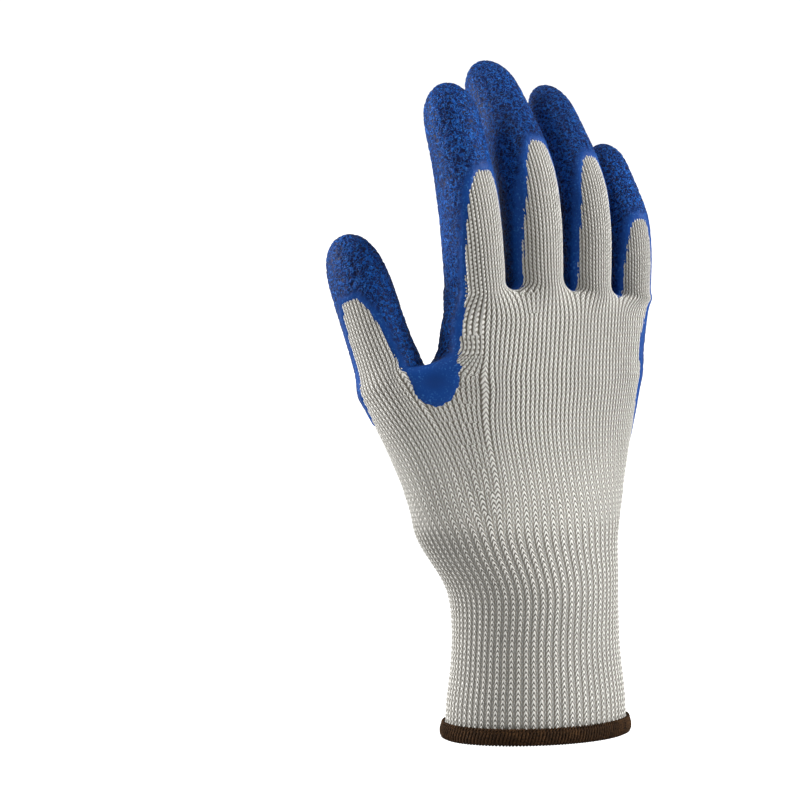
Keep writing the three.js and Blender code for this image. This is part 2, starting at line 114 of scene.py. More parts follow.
@dataclass(frozen=True)
class Finger:
    """Place and form of one finger, as shares of the palm's sizes and of a finger's; skew turns its bare back."""

    across: float
    forward: float
    web: float
    length: float
    width: float
    curl: float
    lean: float
    bare: float
    open: float
    skew: float = 0.0


@dataclass(frozen=True)
class Frame:
    """Middle and directions of a tube at one place: along to its tip, back out of its back, side to the right."""

    middle: Vector
    along: Vector
    back: Vector
    side: Vector

    def point(self, degrees: float, half_width: float, half_depth: float) -> Vector:
        """Gives a point round the frame.

        Args:
            degrees: angle from the back towards the side.
            half_width: reach along the side.
            half_depth: reach along the back.

        Returns:
            The point, in millimetres.
        """
        angle = math.radians(degrees)
        return self.middle + self.side * (half_width * math.sin(angle)) + self.back * (half_depth * math.cos(angle))


def frame_at(middle: Vector, along: Vector, back_wish: Vector) -> Frame:
    """Builds a frame whose back lies as near as it can to a wished direction.

    Args:
        middle: the frame's middle.
        along: unit direction towards the tip.
        back_wish: wished direction of the back.

    Returns:
        The frame.
    """
    back = (back_wish - along * back_wish.dot(along)).normalized()
    return Frame(middle.copy(), along.copy(), back, along.cross(back))


def table_value(rows: Sequence, along: float, column: str) -> float:
    """Reads a column of a table between its rows.

    Args:
        rows: rows with an along value that grows.
        along: where to read.
        column: name of the value.

    Returns:
        The value there, held level past the table's ends.
    """
    places = [row.along for row in rows]
    return float(np.interp(along, places, [getattr(row, column) for row in rows]))


class HandForm:
    """Sizes and sections of the filled glove, in millimetres, and the frames of its fingers."""

    CUFF_HEIGHT = 73.5
    WRIST_WIDTH = 62.0
    WRIST_DEPTH = 43.0
    THUMB_WEB_RISE = 55.0
    FINGER_WEB_RISE = 28.0
    PALM_WIDTH = 80.0
    PALM_DEPTH = 33.0
    PALM_SQUARENESS = 2.4
    PALM_CORNER = 22.0
    FINGER_LENGTH = 86.0
    FINGER_WIDTH = 19.2
    FINGER_CURL = 42.0
    THUMB_LENGTH = 54.0
    THUMB_WIDTH = 21.4
    THUMB_ACROSS = -0.61
    THUMB_FORWARD = 0.43
    THUMB_DROP = 0.05
    KNIT_BOTTOM = 2.0
    FACE_COLUMNS = 3
    SIDE_COLUMNS = 3
    FACE_CORNER = 45.0
    WALK_STEPS = 40

    CUFF = (
        CuffRow(0.0, 1.09, 1.11, 0.012),
        CuffRow(0.15, 1.09, 1.11, 0.012),
        CuffRow(0.3, 1.05, 1.06, 0.013),
        CuffRow(0.45, 1.02, 1.02, 0.01),
        CuffRow(0.59, 1.02, 1.0, 0.005),
        CuffRow(0.71, 1.05, 0.98, -0.01),
        CuffRow(0.82, 1.13, 0.94, -0.045),
        CuffRow(0.91, 1.21, 0.91, -0.085),
        CuffRow(1.0, 1.28, 0.89, -0.11),
    )
    LOWER_PALM = (0.22, 0.45, 0.68, 0.87)
    PALM = (
        PalmRow(0.0, 1.0, 1.06, 0.03, 0.05),
        PalmRow(0.25, 0.985, 1.0, 0.045, 0.06),
        PalmRow(0.5, 0.985, 0.92, 0.062, 0.07),
        PalmRow(0.76, 0.99, 0.82, 0.082, 0.085),
    )
    FINGERS = (
        Finger(-0.264, 0.14, 0.0, 0.868, 1.03, 0.42, -4.4, 0.545, 1.0),
        Finger(0.015, 0.1, 0.05, 1.05, 1.03, 0.96, -1.4, 0.535, 1.0),
        Finger(0.275, 0.08, -0.06, 0.977, 0.88, 1.0, 0.6, 0.545, 1.0),
        Finger(0.51, 0.14, -0.15, 0.705, 0.76, 0.94, 1.6, 0.42, 0.8, -10.0),
    )
    FINGER = (
        FingerRow(0.0, 1.04, 1.32, 0.0),
        FingerRow(0.032, 0.975, 1.29, 0.0),
        FingerRow(0.085, 0.97, 1.26, 0.0),
        FingerRow(0.16, 0.98, 1.24, 0.01),
        FingerRow(0.26, 0.99, 1.22, 0.1),
        FingerRow(0.38, 1.0, 1.17, 0.4),
        FingerRow(0.48, 1.0, 1.1, 0.69),
        FingerRow(0.6, 0.97, 1.0, 0.96),
        FingerRow(0.72, 0.95, 0.94, 1.0),
        FingerRow(0.83, 0.93, 0.88, 1.0),
        FingerRow(0.905, 0.83, 0.76, 1.0),
        FingerRow(0.955, 0.62, 0.56, 1.0),
        FingerRow(0.987, 0.35, 0.31, 1.0),
    )
    THUMB = (
        ThumbRow(0.0, 1.2, 1.2, 14.0, 20.0, 45.0),
        ThumbRow(0.1, 1.06, 1.08, 13.0, 19.0, 48.0),
        ThumbRow(0.24, 1.0, 1.0, 12.0, 18.0, 51.0),
        ThumbRow(0.4, 0.98, 0.96, 12.0, 17.0, 54.0),
        ThumbRow(0.56, 0.98, 0.92, 12.0, 17.0, 55.0),
        ThumbRow(0.72, 0.95, 0.86, 13.0, 18.0, 55.0),
        ThumbRow(0.84, 0.84, 0.74, 15.0, 20.0, 55.0),
        ThumbRow(0.925, 0.65, 0.56, 16.0, 22.0, 55.0),
        ThumbRow(0.98, 0.36, 0.31, 16.0, 22.0, 55.0),
    )

    @property
    def thumb_web(self) -> float:
        """Height of the parting between thumb and palm."""
        return self.CUFF_HEIGHT + self.THUMB_WEB_RISE

    @property
    def finger_web(self) -> float:
        """Height of the partings between the fingers."""
        return self.thumb_web + self.FINGER_WEB_RISE

    def cuff_loop(self, row: CuffRow, height: float | None = None, turn: float = 0.0) -> list[Vector]:
        """Spreads the cuff's columns round one section, from the thumb's edge of the back.

        Args:
            row: the section.
            height: height to use in place of the row's own.
            turn: degrees that the columns are turned by, towards the little finger on the back.

        Returns:
            One point for each column.
        """
        columns = 2 * (self.FACE_COLUMNS * (len(self.FINGERS) + 1) + self.SIDE_COLUMNS)
        step = 2 * math.pi / columns
        start = math.pi + step * self.SIDE_COLUMNS / 2 + math.radians(turn)
        z = self.CUFF_HEIGHT * row.rise if height is None else height
        points = []
        for i in range(columns):
            x = self.WRIST_WIDTH * (row.shift + row.width / 2 * math.cos(start + step * i))
            y = self.WRIST_DEPTH * row.depth / 2 * math.sin(start + step * i)
            points.append(Vector((x, y, z)))
        return points

    def palm_columns(self) -> list[float]:
        """Gives the shares of the palm's back, from -1 to 1, where its columns stand."""
        total = sum(finger.width for finger in self.FINGERS)
        shares = [-1.0]
        for finger in self.FINGERS:
            for _ in range(self.FACE_COLUMNS):
                shares.append(shares[-1] + 2 * finger.width / total / self.FACE_COLUMNS)
        return shares

    def palm_loop(self, row: PalmRow) -> list[Vector]:
        """Spreads the four-finger tube's columns round one section, squarer than an ellipse.

        Args:
            row: the section.

        Returns:
            One point for each column.
        """
        square = self.PALM_SQUARENESS
        corner = math.radians(self.PALM_CORNER)
        reach = math.cos(corner) ** (2 / square)
        back = []
        for share in self.palm_columns():
            x = max(-1.0, min(1.0, reach * share))
            back.append((x, -((1 - abs(x) ** square) ** (1 / square))))
        side = []
        for i in range(1, self.SIDE_COLUMNS):
            angle = corner * (2 * i / self.SIDE_COLUMNS - 1)
            y = math.copysign(abs(math.sin(angle)) ** (2 / square), angle)
            side.append((math.cos(angle) ** (2 / square), y))
        front = [(x, -y) for x, y in reversed(back)]
        far = [(-x, y) for x, y in reversed(side)]
        height = self.thumb_web + self.FINGER_WEB_RISE * row.rise
        points = []
        for x, y in back + side + front + far:
            across = self.PALM_WIDTH * (row.shift + x / 2 * row.width)
            deep = self.PALM_DEPTH * (row.forward + y / 2 * row.depth)
            points.append(Vector((across, deep, height)))
        return points

    def tube_loop(self, frame: Frame, width: float, depth: float) -> list[Vector]:
        """Spreads a tube's columns round a frame: back, right side, front, left side.

        Args:
            frame: the tube's frame.
            width: its width there.
            depth: its depth there.

        Returns:
            One point for each column.
        """
        corner = self.FACE_CORNER
        arcs = (
            (-corner, corner, self.FACE_COLUMNS),
            (corner, 180 - corner, self.SIDE_COLUMNS),
            (180 - corner, 180 + corner, self.FACE_COLUMNS),
            (180 + corner, 360 - corner, self.SIDE_COLUMNS),
        )
        points = []
        for start, end, columns in arcs:
            for i in range(columns):
                points.append(frame.point(start + (end - start) * i / columns, width / 2, depth / 2))
        return points

    def walk(
        self,
        root: Vector,
        length: float,
        share: float,
        direction: Callable[[float], Vector],
        back_wish: Callable[[float], Vector],
    ) -> Frame:
        """Walks along a tube from its root.

        Args:
            root: middle of the root.
            length: length of the tube.
            share: how far to walk, as a share of the length.
            direction: gives the way to go at a share of the length.
            back_wish: gives the wished back at a share of the length.

        Returns:
            The frame there.
        """
        middle = root.copy()
        for i in range(self.WALK_STEPS):
            middle += direction(share * (i + 0.5) / self.WALK_STEPS) * (length * share / self.WALK_STEPS)
        return frame_at(middle, direction(share), back_wish(share))

    def finger_frame(self, finger: Finger, share: float) -> Frame:
        """Gives a finger's frame at a share of its length."""
        root = Vector((
            self.PALM_WIDTH * finger.across,
            self.PALM_DEPTH * finger.forward,
            self.finger_web + self.FINGER_WIDTH * finger.web,
        ))
        lean = math.radians(finger.lean)

        def direction(along: float) -> Vector:
            """Gives the finger's way at a share of its length."""
            tilt = math.radians(self.FINGER_CURL * finger.curl * table_value(self.FINGER, along, "bend"))
            return Vector((math.sin(lean), math.sin(tilt) * math.cos(lean), math.cos(tilt) * math.cos(lean)))

        back = Vector((0, -1, 0))
        return self.walk(root, self.FINGER_LENGTH * finger.length, share, direction, lambda along: back)

    def thumb_frame(self, share: float) -> Frame:
        """Gives the thumb's frame at a share of its length."""
        root = Vector((
            self.PALM_WIDTH * self.THUMB_ACROSS,
            self.PALM_DEPTH * self.THUMB_FORWARD,
            self.thumb_web - self.THUMB_WEB_RISE * self.THUMB_DROP,
        ))

        def direction(along: float) -> Vector:
            """Gives the thumb's way at a share of its length."""
            lean = math.tan(math.radians(table_value(self.THUMB, along, "lean")))
            tilt = math.tan(math.radians(table_value(self.THUMB, along, "tilt")))
            return Vector((-lean, tilt, 1)).normalized()

        def back_wish(along: float) -> Vector:
            """Gives the wished back of the thumb at a share of its length."""
            roll = math.radians(table_value(self.THUMB, along, "roll"))
            return Vector((-math.sin(roll), -math.cos(roll), 0))

        return self.walk(root, self.THUMB_LENGTH, share, direction, back_wish)


class Zone(Enum):
    """Parts of the grown knit, as numbers on its faces."""

    CUFF = 0
    HAND = 1
    THUMB = 2
    INDEX = 3
    MIDDLE = 4
    RING = 5
    LITTLE = 6


FINGER_ZONES = (Zone.INDEX, Zone.MIDDLE, Zone.RING, Zone.LITTLE)


def even_rows(rows: Sequence[CuffRow], count: int) -> list[CuffRow]:
    """Spreads sections evenly up the cuff, on smooth curves through the table's rows.

    Args:
        rows: the table.
        count: number of bands between the new sections.

    Returns:
        The new sections.
    """
    places = np.array([row.rise for row in rows])
    values = np.array([[row.width, row.depth, row.shift] for row in rows])
    slopes = np.gradient(values, places, axis=0)
    made = []
    for rise in np.linspace(0.0, 1.0, count + 1):
        k = int(min(max(np.searchsorted(places, rise) - 1, 0), len(places) - 2))
        gap = places[k + 1] - places[k]
        t = (rise - places[k]) / gap
        start = (1 + 2 * t) * (1 - t) ** 2 * values[k] + t * (1 - t) ** 2 * gap * slopes[k]
        end = t * t * (3 - 2 * t) * values[k + 1] + t * t * (t - 1) * gap * slopes[k + 1]
        width, depth, shift = start + end
        made.append(CuffRow(float(rise), float(width), float(depth), float(shift)))
    return made


def evened(points: Sequence[Vector], amount: float) -> list[Vector]:
    """Slides the points of a closed loop along it until they stand evenly.

    Args:
        points: the loop's points.
        amount: 0 leaves them where they are, 1 spaces them evenly.

    Returns:
        The moved points.
    """
    closed = np.array([*points, points[0]])
    run = np.concatenate([[0.0], np.cumsum(np.linalg.norm(np.diff(closed, axis=0), axis=1))])
    even = np.linspace(0.0, run[-1], len(run))[:-1]
    even += (run[:-1] - even).mean()
    wanted = np.mod(run[:-1] * (1 - amount) + even * amount, run[-1])
    return [Vector([float(np.interp(place, run, closed[:, axis])) for axis in range(3)]) for place in wanted]


def loop_edges(bm: bmesh.types.BMesh, loop: Loop) -> list[bmesh.types.BMEdge]:
    """Gives the edges of a closed loop of vertices."""
    return [bm.edges.get((vert, loop[(i + 1) % len(loop)])) for i, vert in enumerate(loop)]


def extruded(bm: bmesh.types.BMesh, loop: Loop) -> Loop:
    """Extrudes a closed loop, and leaves the new vertices where the old ones stand.

    Args:
        bm: the mesh.
        loop: the loop's vertices.

    Returns:
        The new vertices, in the loop's order.
    """
    made = bmesh.ops.extrude_edge_only(bm, edges=loop_edges(bm, loop))
    fresh = {item for item in made["geom"] if isinstance(item, bmesh.types.BMVert)}
    return [next(e.other_vert(v) for e in v.link_edges if e.other_vert(v) in fresh) for v in loop]


class Grower:
    """Grows tubes of quads in one bmesh by extruding loops of edges, row after row.

    WALE is the width in millimetres that a wale of the hand has where its column is a wide one.
    """

    WALE = 1.8

    def __init__(self) -> None:
        """Starts an empty mesh with its stitch map and its zones."""
        self.bm = bmesh.new()
        self.stitch = self.bm.loops.layers.uv.new("stitch")
        self.course = self.bm.verts.layers.float.new("course")
        self.zone = self.bm.faces.layers.int.new("zone")

    def start(self, points: Sequence[Vector]) -> Loop:
        """Makes the first loop.

        Args:
            points: its points, in order round the tube.

        Returns:
            The loop's vertices in the same order.
        """
        made = bmesh.ops.create_circle(self.bm, cap_ends=False, segments=len(points), radius=1.0)
        loop = list(made["verts"])
        for vert, point in zip(loop, points):
            vert.co = point
        return loop

    def row(self, loop: Loop, points: Sequence[Vector], pitch: float, wales: float, zone: Zone) -> Loop:
        """Extrudes a closed loop into its next row.

        Args:
            loop: the loop to extrude.
            points: where the new row lies.
            pitch: height of one course, in millimetres.
            wales: wales in each column.
            zone: the zone of the new faces.

        Returns:
            The new row's vertices, in the loop's order.
        """
        size = len(loop)
        above = extruded(self.bm, loop)
        for vert, new, point in zip(loop, above, points):
            new.co = point
            new[self.course] = vert[self.course] + (point - vert.co).length / pitch
        for i in range(size):
            j = (i + 1) % size
            face = self.bm.faces.get((loop[i], loop[j], above[j], above[i]))
            face[self.zone] = zone.value
            width = ((loop[i].co - loop[j].co).length + (above[i].co - above[j].co).length) / 2
            count = max(wales, round(width / self.WALE)) if zone is Zone.HAND else wales
            for corner in face.loops:
                across = 0 if corner.vert in (loop[i], above[i]) else count
                corner[self.stitch].uv = (i * wales + across, corner.vert[self.course])
        return above

    def close(self, loop: Loop, tip: Vector, pitch: float, wales: float, zone: Zone) -> None:
        """Closes a tube to a point.

        Args:
            loop: its last loop.
            tip: the point.
            pitch: height of one course, in millimetres.
            wales: wales in each column.
            zone: the zone of the new faces.
        """
        last = self.row(loop, [tip] * len(loop), pitch, wales, zone)
        top = max(vert[self.course] for vert in last)
        bmesh.ops.pointmerge(self.bm, verts=last, merge_co=tip)
        known = set(loop)
        for i, vert in enumerate(loop):
            after = loop[(i + 1) % len(loop)]
            for face in vert.link_faces:
                if len(face.verts) == 3 and after in face.verts:
                    for corner in face.loops:
                        if corner.vert not in known:
                            corner[self.stitch].uv = ((i + 0.5) * wales, top)

    def chain(self, start: bmesh.types.BMVert, end: bmesh.types.BMVert, points: Sequence[Vector]) -> Loop:
        """Strings new vertices between two that stand on a loop.

        Args:
            start: first end.
            end: second end.
            points: where the new vertices lie, from start to end.

        Returns:
            The new vertices.
        """
        edge = self.bm.edges.new((start, end))
        fresh = []
        near = start
        for i, point in enumerate(points):
            _, vert = bmesh.utils.edge_split(edge, near, 0.5)
            share = (i + 1) / (len(points) + 1)
            vert.co = point
            vert[self.course] = start[self.course] * (1 - share) + end[self.course] * share
            fresh.append(vert)
            edge = self.bm.edges.get((vert, end))
            near = vert
        return fresh


@dataclass
class GloveCage:
    """The knit's face as a coarse cage, grown from the cuff's mouth to the fingertips."""

    form: HandForm
    wales: int = 4
    course: float = 1.84
    finger_course: float = 1.45
    cuff_bands: int = 10
    hand_bands: int = 8
    turn: float = 9.0

    def build(self) -> bpy.types.Mesh:
        """Grows the cage.

        Returns:
            Its mesh, in millimetres.
        """
        form = self.form
        grower = Grower()
        sections = even_rows(form.CUFF, self.cuff_bands)
        loop = grower.start(form.cuff_loop(sections[0], form.KNIT_BOTTOM))
        for section in sections[1:]:
            turn = self.turn * float(smoothstep(0.4, 1.0, np.array(section.rise)))
            loop = grower.row(loop, form.cuff_loop(section, turn=turn), self.course, self.wales, Zone.CUFF)
        thumb_loop, palm = self.part_thumb(grower, loop)
        thumb = [(row.along, row.width, row.depth) for row in form.THUMB]
        self.tube(grower, thumb_loop, thumb, form.THUMB_WIDTH, form.thumb_frame, Zone.THUMB)
        for section in form.PALM[1:]:
            palm = grower.row(palm, form.palm_loop(section), self.course, self.wales, Zone.HAND)
        fingers = [(row.along, row.width, row.depth) for row in form.FINGER]
        for finger, zone, root in zip(form.FINGERS, FINGER_ZONES, self.part_fingers(grower, palm)):
            width = form.FINGER_WIDTH * finger.width
            self.tube(grower, root, fingers, width, lambda share, f=finger: form.finger_frame(f, share), zone)
        bmesh.ops.recalc_face_normals(grower.bm, faces=grower.bm.faces)
        mesh = bpy.data.meshes.new("cage")
        grower.bm.to_mesh(mesh)
        grower.bm.free()
        return mesh

    def tube(
        self,
        grower: Grower,
        root: Loop,
        sections: Sequence[tuple[float, float, float]],
        width: float,
        frame_of: Callable[[float], Frame],
        zone: Zone,
    ) -> None:
        """Grows a finger from its root loop and closes its tip.

        Args:
            grower: the mesh.
            root: the root loop.
            sections: along, width and depth of each section, the root's first.
            width: the finger's width, which the sections' shares multiply.
            frame_of: gives the frame at a share of the length.
            zone: the finger's zone.
        """
        loop = root
        for along, wide, deep in sections[1:]:
            points = self.form.tube_loop(frame_of(along), width * wide, width * deep)
            loop = grower.row(loop, points, self.finger_course, self.wales, zone)
        grower.close(loop, frame_of(1.0).middle, self.finger_course, self.wales, zone)

    def part_thumb(self, grower: Grower, below: Loop) -> tuple[Loop, Loop]:
        """Grows the lower palm and parts it into the thumb's loop and the four-finger loop.

        Args:
            grower: the mesh.
            below: the cuff's last loop.

        Returns:
            The thumb's loop and the four-finger loop, which share a chain of vertices.
        """
        form = self.form
        row = form.THUMB[0]
        thumb = form.tube_loop(form.thumb_frame(0.0), form.THUMB_WIDTH * row.width, form.THUMB_WIDTH * row.depth)
        palm = form.palm_loop(form.PALM[0])
        face, end = form.FACE_COLUMNS, form.FACE_COLUMNS + form.SIDE_COLUMNS
        body = palm[1 : len(palm) - form.SIDE_COLUMNS]
        outer = thumb[: face + 1] + body + thumb[end:]
        start = [vert.co.copy() for vert in below]
        shares = (0.0, *form.LOWER_PALM, 1.0)
        places = np.interp(np.linspace(0, 1, self.hand_bands + 1), np.linspace(0, 1, len(shares)), shares)
        loop = below
        for share in places[1:]:
            points = [low.lerp(high, float(share)) for low, high in zip(start, outer)]
            points = evened(points, 5.6 * float(share * (1.0 - share)) ** 2)
            loop = grower.row(loop, points, self.course, self.wales, Zone.HAND)
        palm_end = face + len(body) + 1
        chain = grower.chain(loop[face], loop[palm_end], thumb[face + 1 : end])
        thumb_loop = loop[: face + 1] + chain + loop[palm_end:]
        return thumb_loop, loop[face : palm_end + 1] + chain[::-1]

    def part_fingers(self, grower: Grower, below: Loop) -> list[Loop]:
        """Parts the four-finger loop into the fingers' root loops, which share chains of vertices at their webs.

        Args:
            grower: the mesh.
            below: the palm's last loop.

        Returns:
            The four root loops.
        """
        form = self.form
        row = form.FINGER[0]
        face, side = form.FACE_COLUMNS, form.SIDE_COLUMNS
        size = 2 * (face + side)
        roots = []
        for finger in form.FINGERS:
            width = form.FINGER_WIDTH * finger.width
            roots.append(form.tube_loop(form.finger_frame(finger, 0.0), width * row.width, width * row.depth))
        for i in range(1, len(roots)):
            for k in range(face, face + side + 1):
                mirror = (size - (k - face)) % size
                mean = roots[i - 1][k].lerp(roots[i][mirror], 0.5)
                roots[i - 1][k] = mean
                roots[i][mirror] = mean
        last = len(roots) - 1
        back = [p for i, root in enumerate(roots) for p in root[0 if i == 0 else 1 : face + 1]]
        front_start = face + side
        front = [
            p
            for i, root in reversed(list(enumerate(roots)))
            for p in root[front_start + (0 if i == last else 1) : front_start + face + 1]
        ]
        rim = back + roots[last][face + 1 : face + side] + front + roots[0][front_start + face + 1 :]
        loop = grower.row(below, rim, self.course, self.wales, Zone.HAND)
        chains = []
        for i in range(last):
            near = loop[face * (i + 1)]
            far = loop[len(back) + side - 1 + face * (last - i)]
            chains.append(grower.chain(near, far, roots[i][face + 1 : face + side]))
        fingers = []
        for i in range(len(roots)):
            first = face * i
            front_first = len(back) + side - 1 + face * (last - i)
            inner = chains[i] if i < last else loop[len(back) : len(back) + side - 1]
            outer = chains[i - 1][::-1] if i > 0 else loop[len(loop) - side + 1 :]
            back_root = loop[first : first + face + 1]
            front_root = loop[front_first : front_first + face + 1]
            fingers.append(back_root + inner + front_root + outer)
        return fingers


@dataclass
class FineSurface:
    """The cage made fine and smooth, as arrays in millimetres beside its mesh.

    mesh holds the faces; points and normals are one row a vertex; wale and course are the stitch map on the
    vertices; zone is one number a face.
    """

    mesh: bpy.types.Mesh
    points: np.ndarray
    normals: np.ndarray
    wale: np.ndarray
    course: np.ndarray
    zone: np.ndarray

    def faces_mean(self, values: np.ndarray) -> np.ndarray:
        """Gives the mean of a vertex value over each face's corners."""
        corners = np.empty(len(self.mesh.loops), np.int32)
        self.mesh.loops.foreach_get("vertex_index", corners)
        starts = np.empty(len(self.mesh.polygons), np.int32)
        self.mesh.polygons.foreach_get("loop_start", starts)
        totals = np.empty(len(self.mesh.polygons), np.int32)
        self.mesh.polygons.foreach_get("loop_total", totals)
        return np.add.reduceat(values[corners], starts) / totals


def refined(mesh: bpy.types.Mesh, levels: int) -> bpy.types.Mesh:
    """Subdivides a mesh to its smooth limit surface.

    Args:
        mesh: the coarse mesh.
        levels: levels of subdivision.

    Returns:
        A new mesh.
    """
    carrier = bpy.data.objects.new("carrier", mesh)
    bpy.context.scene.collection.objects.link(carrier)
    smooth = carrier.modifiers.new("smooth", "SUBSURF")
    smooth.levels = smooth.render_levels = levels
    smooth.use_limit_surface = True
    smooth.uv_smooth = "NONE"
    graph = bpy.context.evaluated_depsgraph_get()
    fine = bpy.data.meshes.new_from_object(
        carrier.evaluated_get(graph), preserve_all_data_layers=True, depsgraph=graph
    )
    bpy.data.objects.remove(carrier)
    return fine


def vertex_points(mesh: bpy.types.Mesh) -> np.ndarray:
    """Gives a mesh's vertices as rows."""
    flat = np.empty(len(mesh.vertices) * 3, np.float32)
    mesh.vertices.foreach_get("co", flat)
    return flat.reshape(-1, 3).astype(np.float64)


def vertex_normals(mesh: bpy.types.Mesh) -> np.ndarray:
    """Gives the normals of a mesh's vertices as rows."""
    flat = np.empty(len(mesh.vertices) * 3, np.float32)
    mesh.vertex_normals.foreach_get("vector", flat)
    return flat.reshape(-1, 3).astype(np.float64)


def fitted_surface(cage: bpy.types.Mesh, levels: int) -> FineSurface:
    """Swells the cage until its smooth surface passes through the cage's own points, then makes it fine.

    Args:
        cage: the coarse mesh, in millimetres; it is changed.
        levels: levels of the fine mesh.

    Returns:
        The fine surface.
    """
    target = vertex_points(cage)
    current = target.copy()
    for _ in range(FIT_ROUNDS):
        probe = refined(cage, 1)
        current += target - vertex_points(probe)[: len(target)]
        bpy.data.meshes.remove(probe)
        cage.vertices.foreach_set("co", current.astype(np.float32).ravel())
        cage.update()
    fine = refined(cage, levels)
    points = vertex_points(fine)
    corners = np.empty(len(fine.loops), np.int32)
    fine.loops.foreach_get("vertex_index", corners)
    stitch = np.empty(len(fine.loops) * 2, np.float32)
    fine.uv_layers["stitch"].uv.foreach_get("vector", stitch)
    stitch = stitch.reshape(-1, 2)
    wale = np.zeros(len(points))
    course = np.zeros(len(points))
    wale[corners] = stitch[:, 0]
    course[corners] = stitch[:, 1]
    zone = np.empty(len(fine.polygons), np.int32)
    fine.attributes["zone"].data.foreach_get("value", zone)
    return FineSurface(fine, points, vertex_normals(fine), wale, course, zone)


# Bare knit on the back of a finger: share of its bare length, angles round it from its back
FINGER_WINDOW = (
    (-0.5, -52, -15),
    (-0.3, -51, 5),
    (-0.12, -49, 34),
    (0, -48, 56),
    (0.27, -46, 60),
    (0.5, -40, 60),
    (0.66, -34, 58),
    (0.8, -27, 56),
    (0.9, -19, 52),
    (0.965, -10, 46),
    (1, 0, 36),
)

# Bare knit on the thumb: share of its length, angles round it from its back
THUMB_WINDOW = (
    (-0.75, -80, 100),
    (-0.4, -73, 92),
    (-0.29, -68, 66),
    (-0.18, -62, 50),
    (0.05, -45, 40),
    (0.3, -42, 38),
    (0.48, -38, 27),
    (0.57, -26, 12),
)

# Bare knit on the back of the hand: 1 at the thumb's parting and 2 at the fingers', shift, angles round the palm
BACK_WINDOW = (
    (-0.1, 0.0, -92, 95),
    (0.7, 0.0, -92, 90),
    (0.8, 0.0, -92, 80),
    (0.88, 0.0, -88, 70),
    (0.9, 0.01, -78, 67),
    (0.93, 0.015, -71, 66),
    (0.98, 0.02, -66, 64),
    (1.23, 0.04, -63, 62),
    (1.55, 0.06, -61, 62),
    (1.98, 0.08, -60, 64),
)


def outline_distance(points: np.ndarray, outline: np.ndarray) -> np.ndarray:
    """Measures how far points in a plane lie outside a closed outline.

    Args:
        points: one row a point.
        outline: one row a corner.

    Returns:
        The distances, negative inside.
    """
    inside = np.zeros(len(points), bool)
    best = np.full(len(points), np.inf)
    for start, end in zip(outline, np.roll(outline, -1, axis=0)):
        edge = end - start
        share = np.clip(((points - start) @ edge) / max(float(edge @ edge), 1e-9), 0, 1)
        gap = points - start - share[:, None] * edge
        best = np.minimum(best, np.hypot(gap[:, 0], gap[:, 1]))
        if start[1] != end[1]:
            crosses = (start[1] > points[:, 1]) != (end[1] > points[:, 1])
            level = start[0] + (points[:, 1] - start[1]) * edge[0] / edge[1]
            inside ^= crosses & (points[:, 0] < level)
    return np.where(inside, -best, best)


def window_outline(
    places: np.ndarray, rows: tuple[np.ndarray, ...], heights: np.ndarray, unroll: float, skew: float = 0.0
) -> np.ndarray:
    """Draws a window's outline on the plane that a tube unrolls to.

    Args:
        places: where to read the window's rows.
        rows: their places, and the angles in degrees where the window starts and ends.
        heights: height in the plane at each place.
        unroll: length of the arc of one degree.
        skew: degrees added to the angles.

    Returns:
        The outline, as arc and height.
    """
    along, start, end = rows
    right = np.stack([(np.interp(places, along, end) + skew) * unroll, heights], axis=1)
    left = np.stack([(np.interp(places, along, start) + skew) * unroll, heights], axis=1)
    return np.concatenate([right, left[::-1]])


def smoothstep(low: float, high: float, values: np.ndarray) -> np.ndarray:
    """Eases values from 0 at low to 1 at high."""
    share = np.clip((values - low) / (high - low), 0, 1)
    return share * share * (3 - 2 * share)


def noise_at(points: np.ndarray, size: float, seed: float) -> np.ndarray:
    """Reads smooth noise at points.

    Args:
        points: one row a point, in millimetres.
        size: size of one swell, in millimetres.
        seed: shifts the noise.

    Returns:
        One value from -1 to 1 for each point.
    """
    shift = Vector((seed * 17.3, seed * 5.1, seed * 9.7))
    return np.array([noise.noise(Vector(point) + shift) for point in points / size])


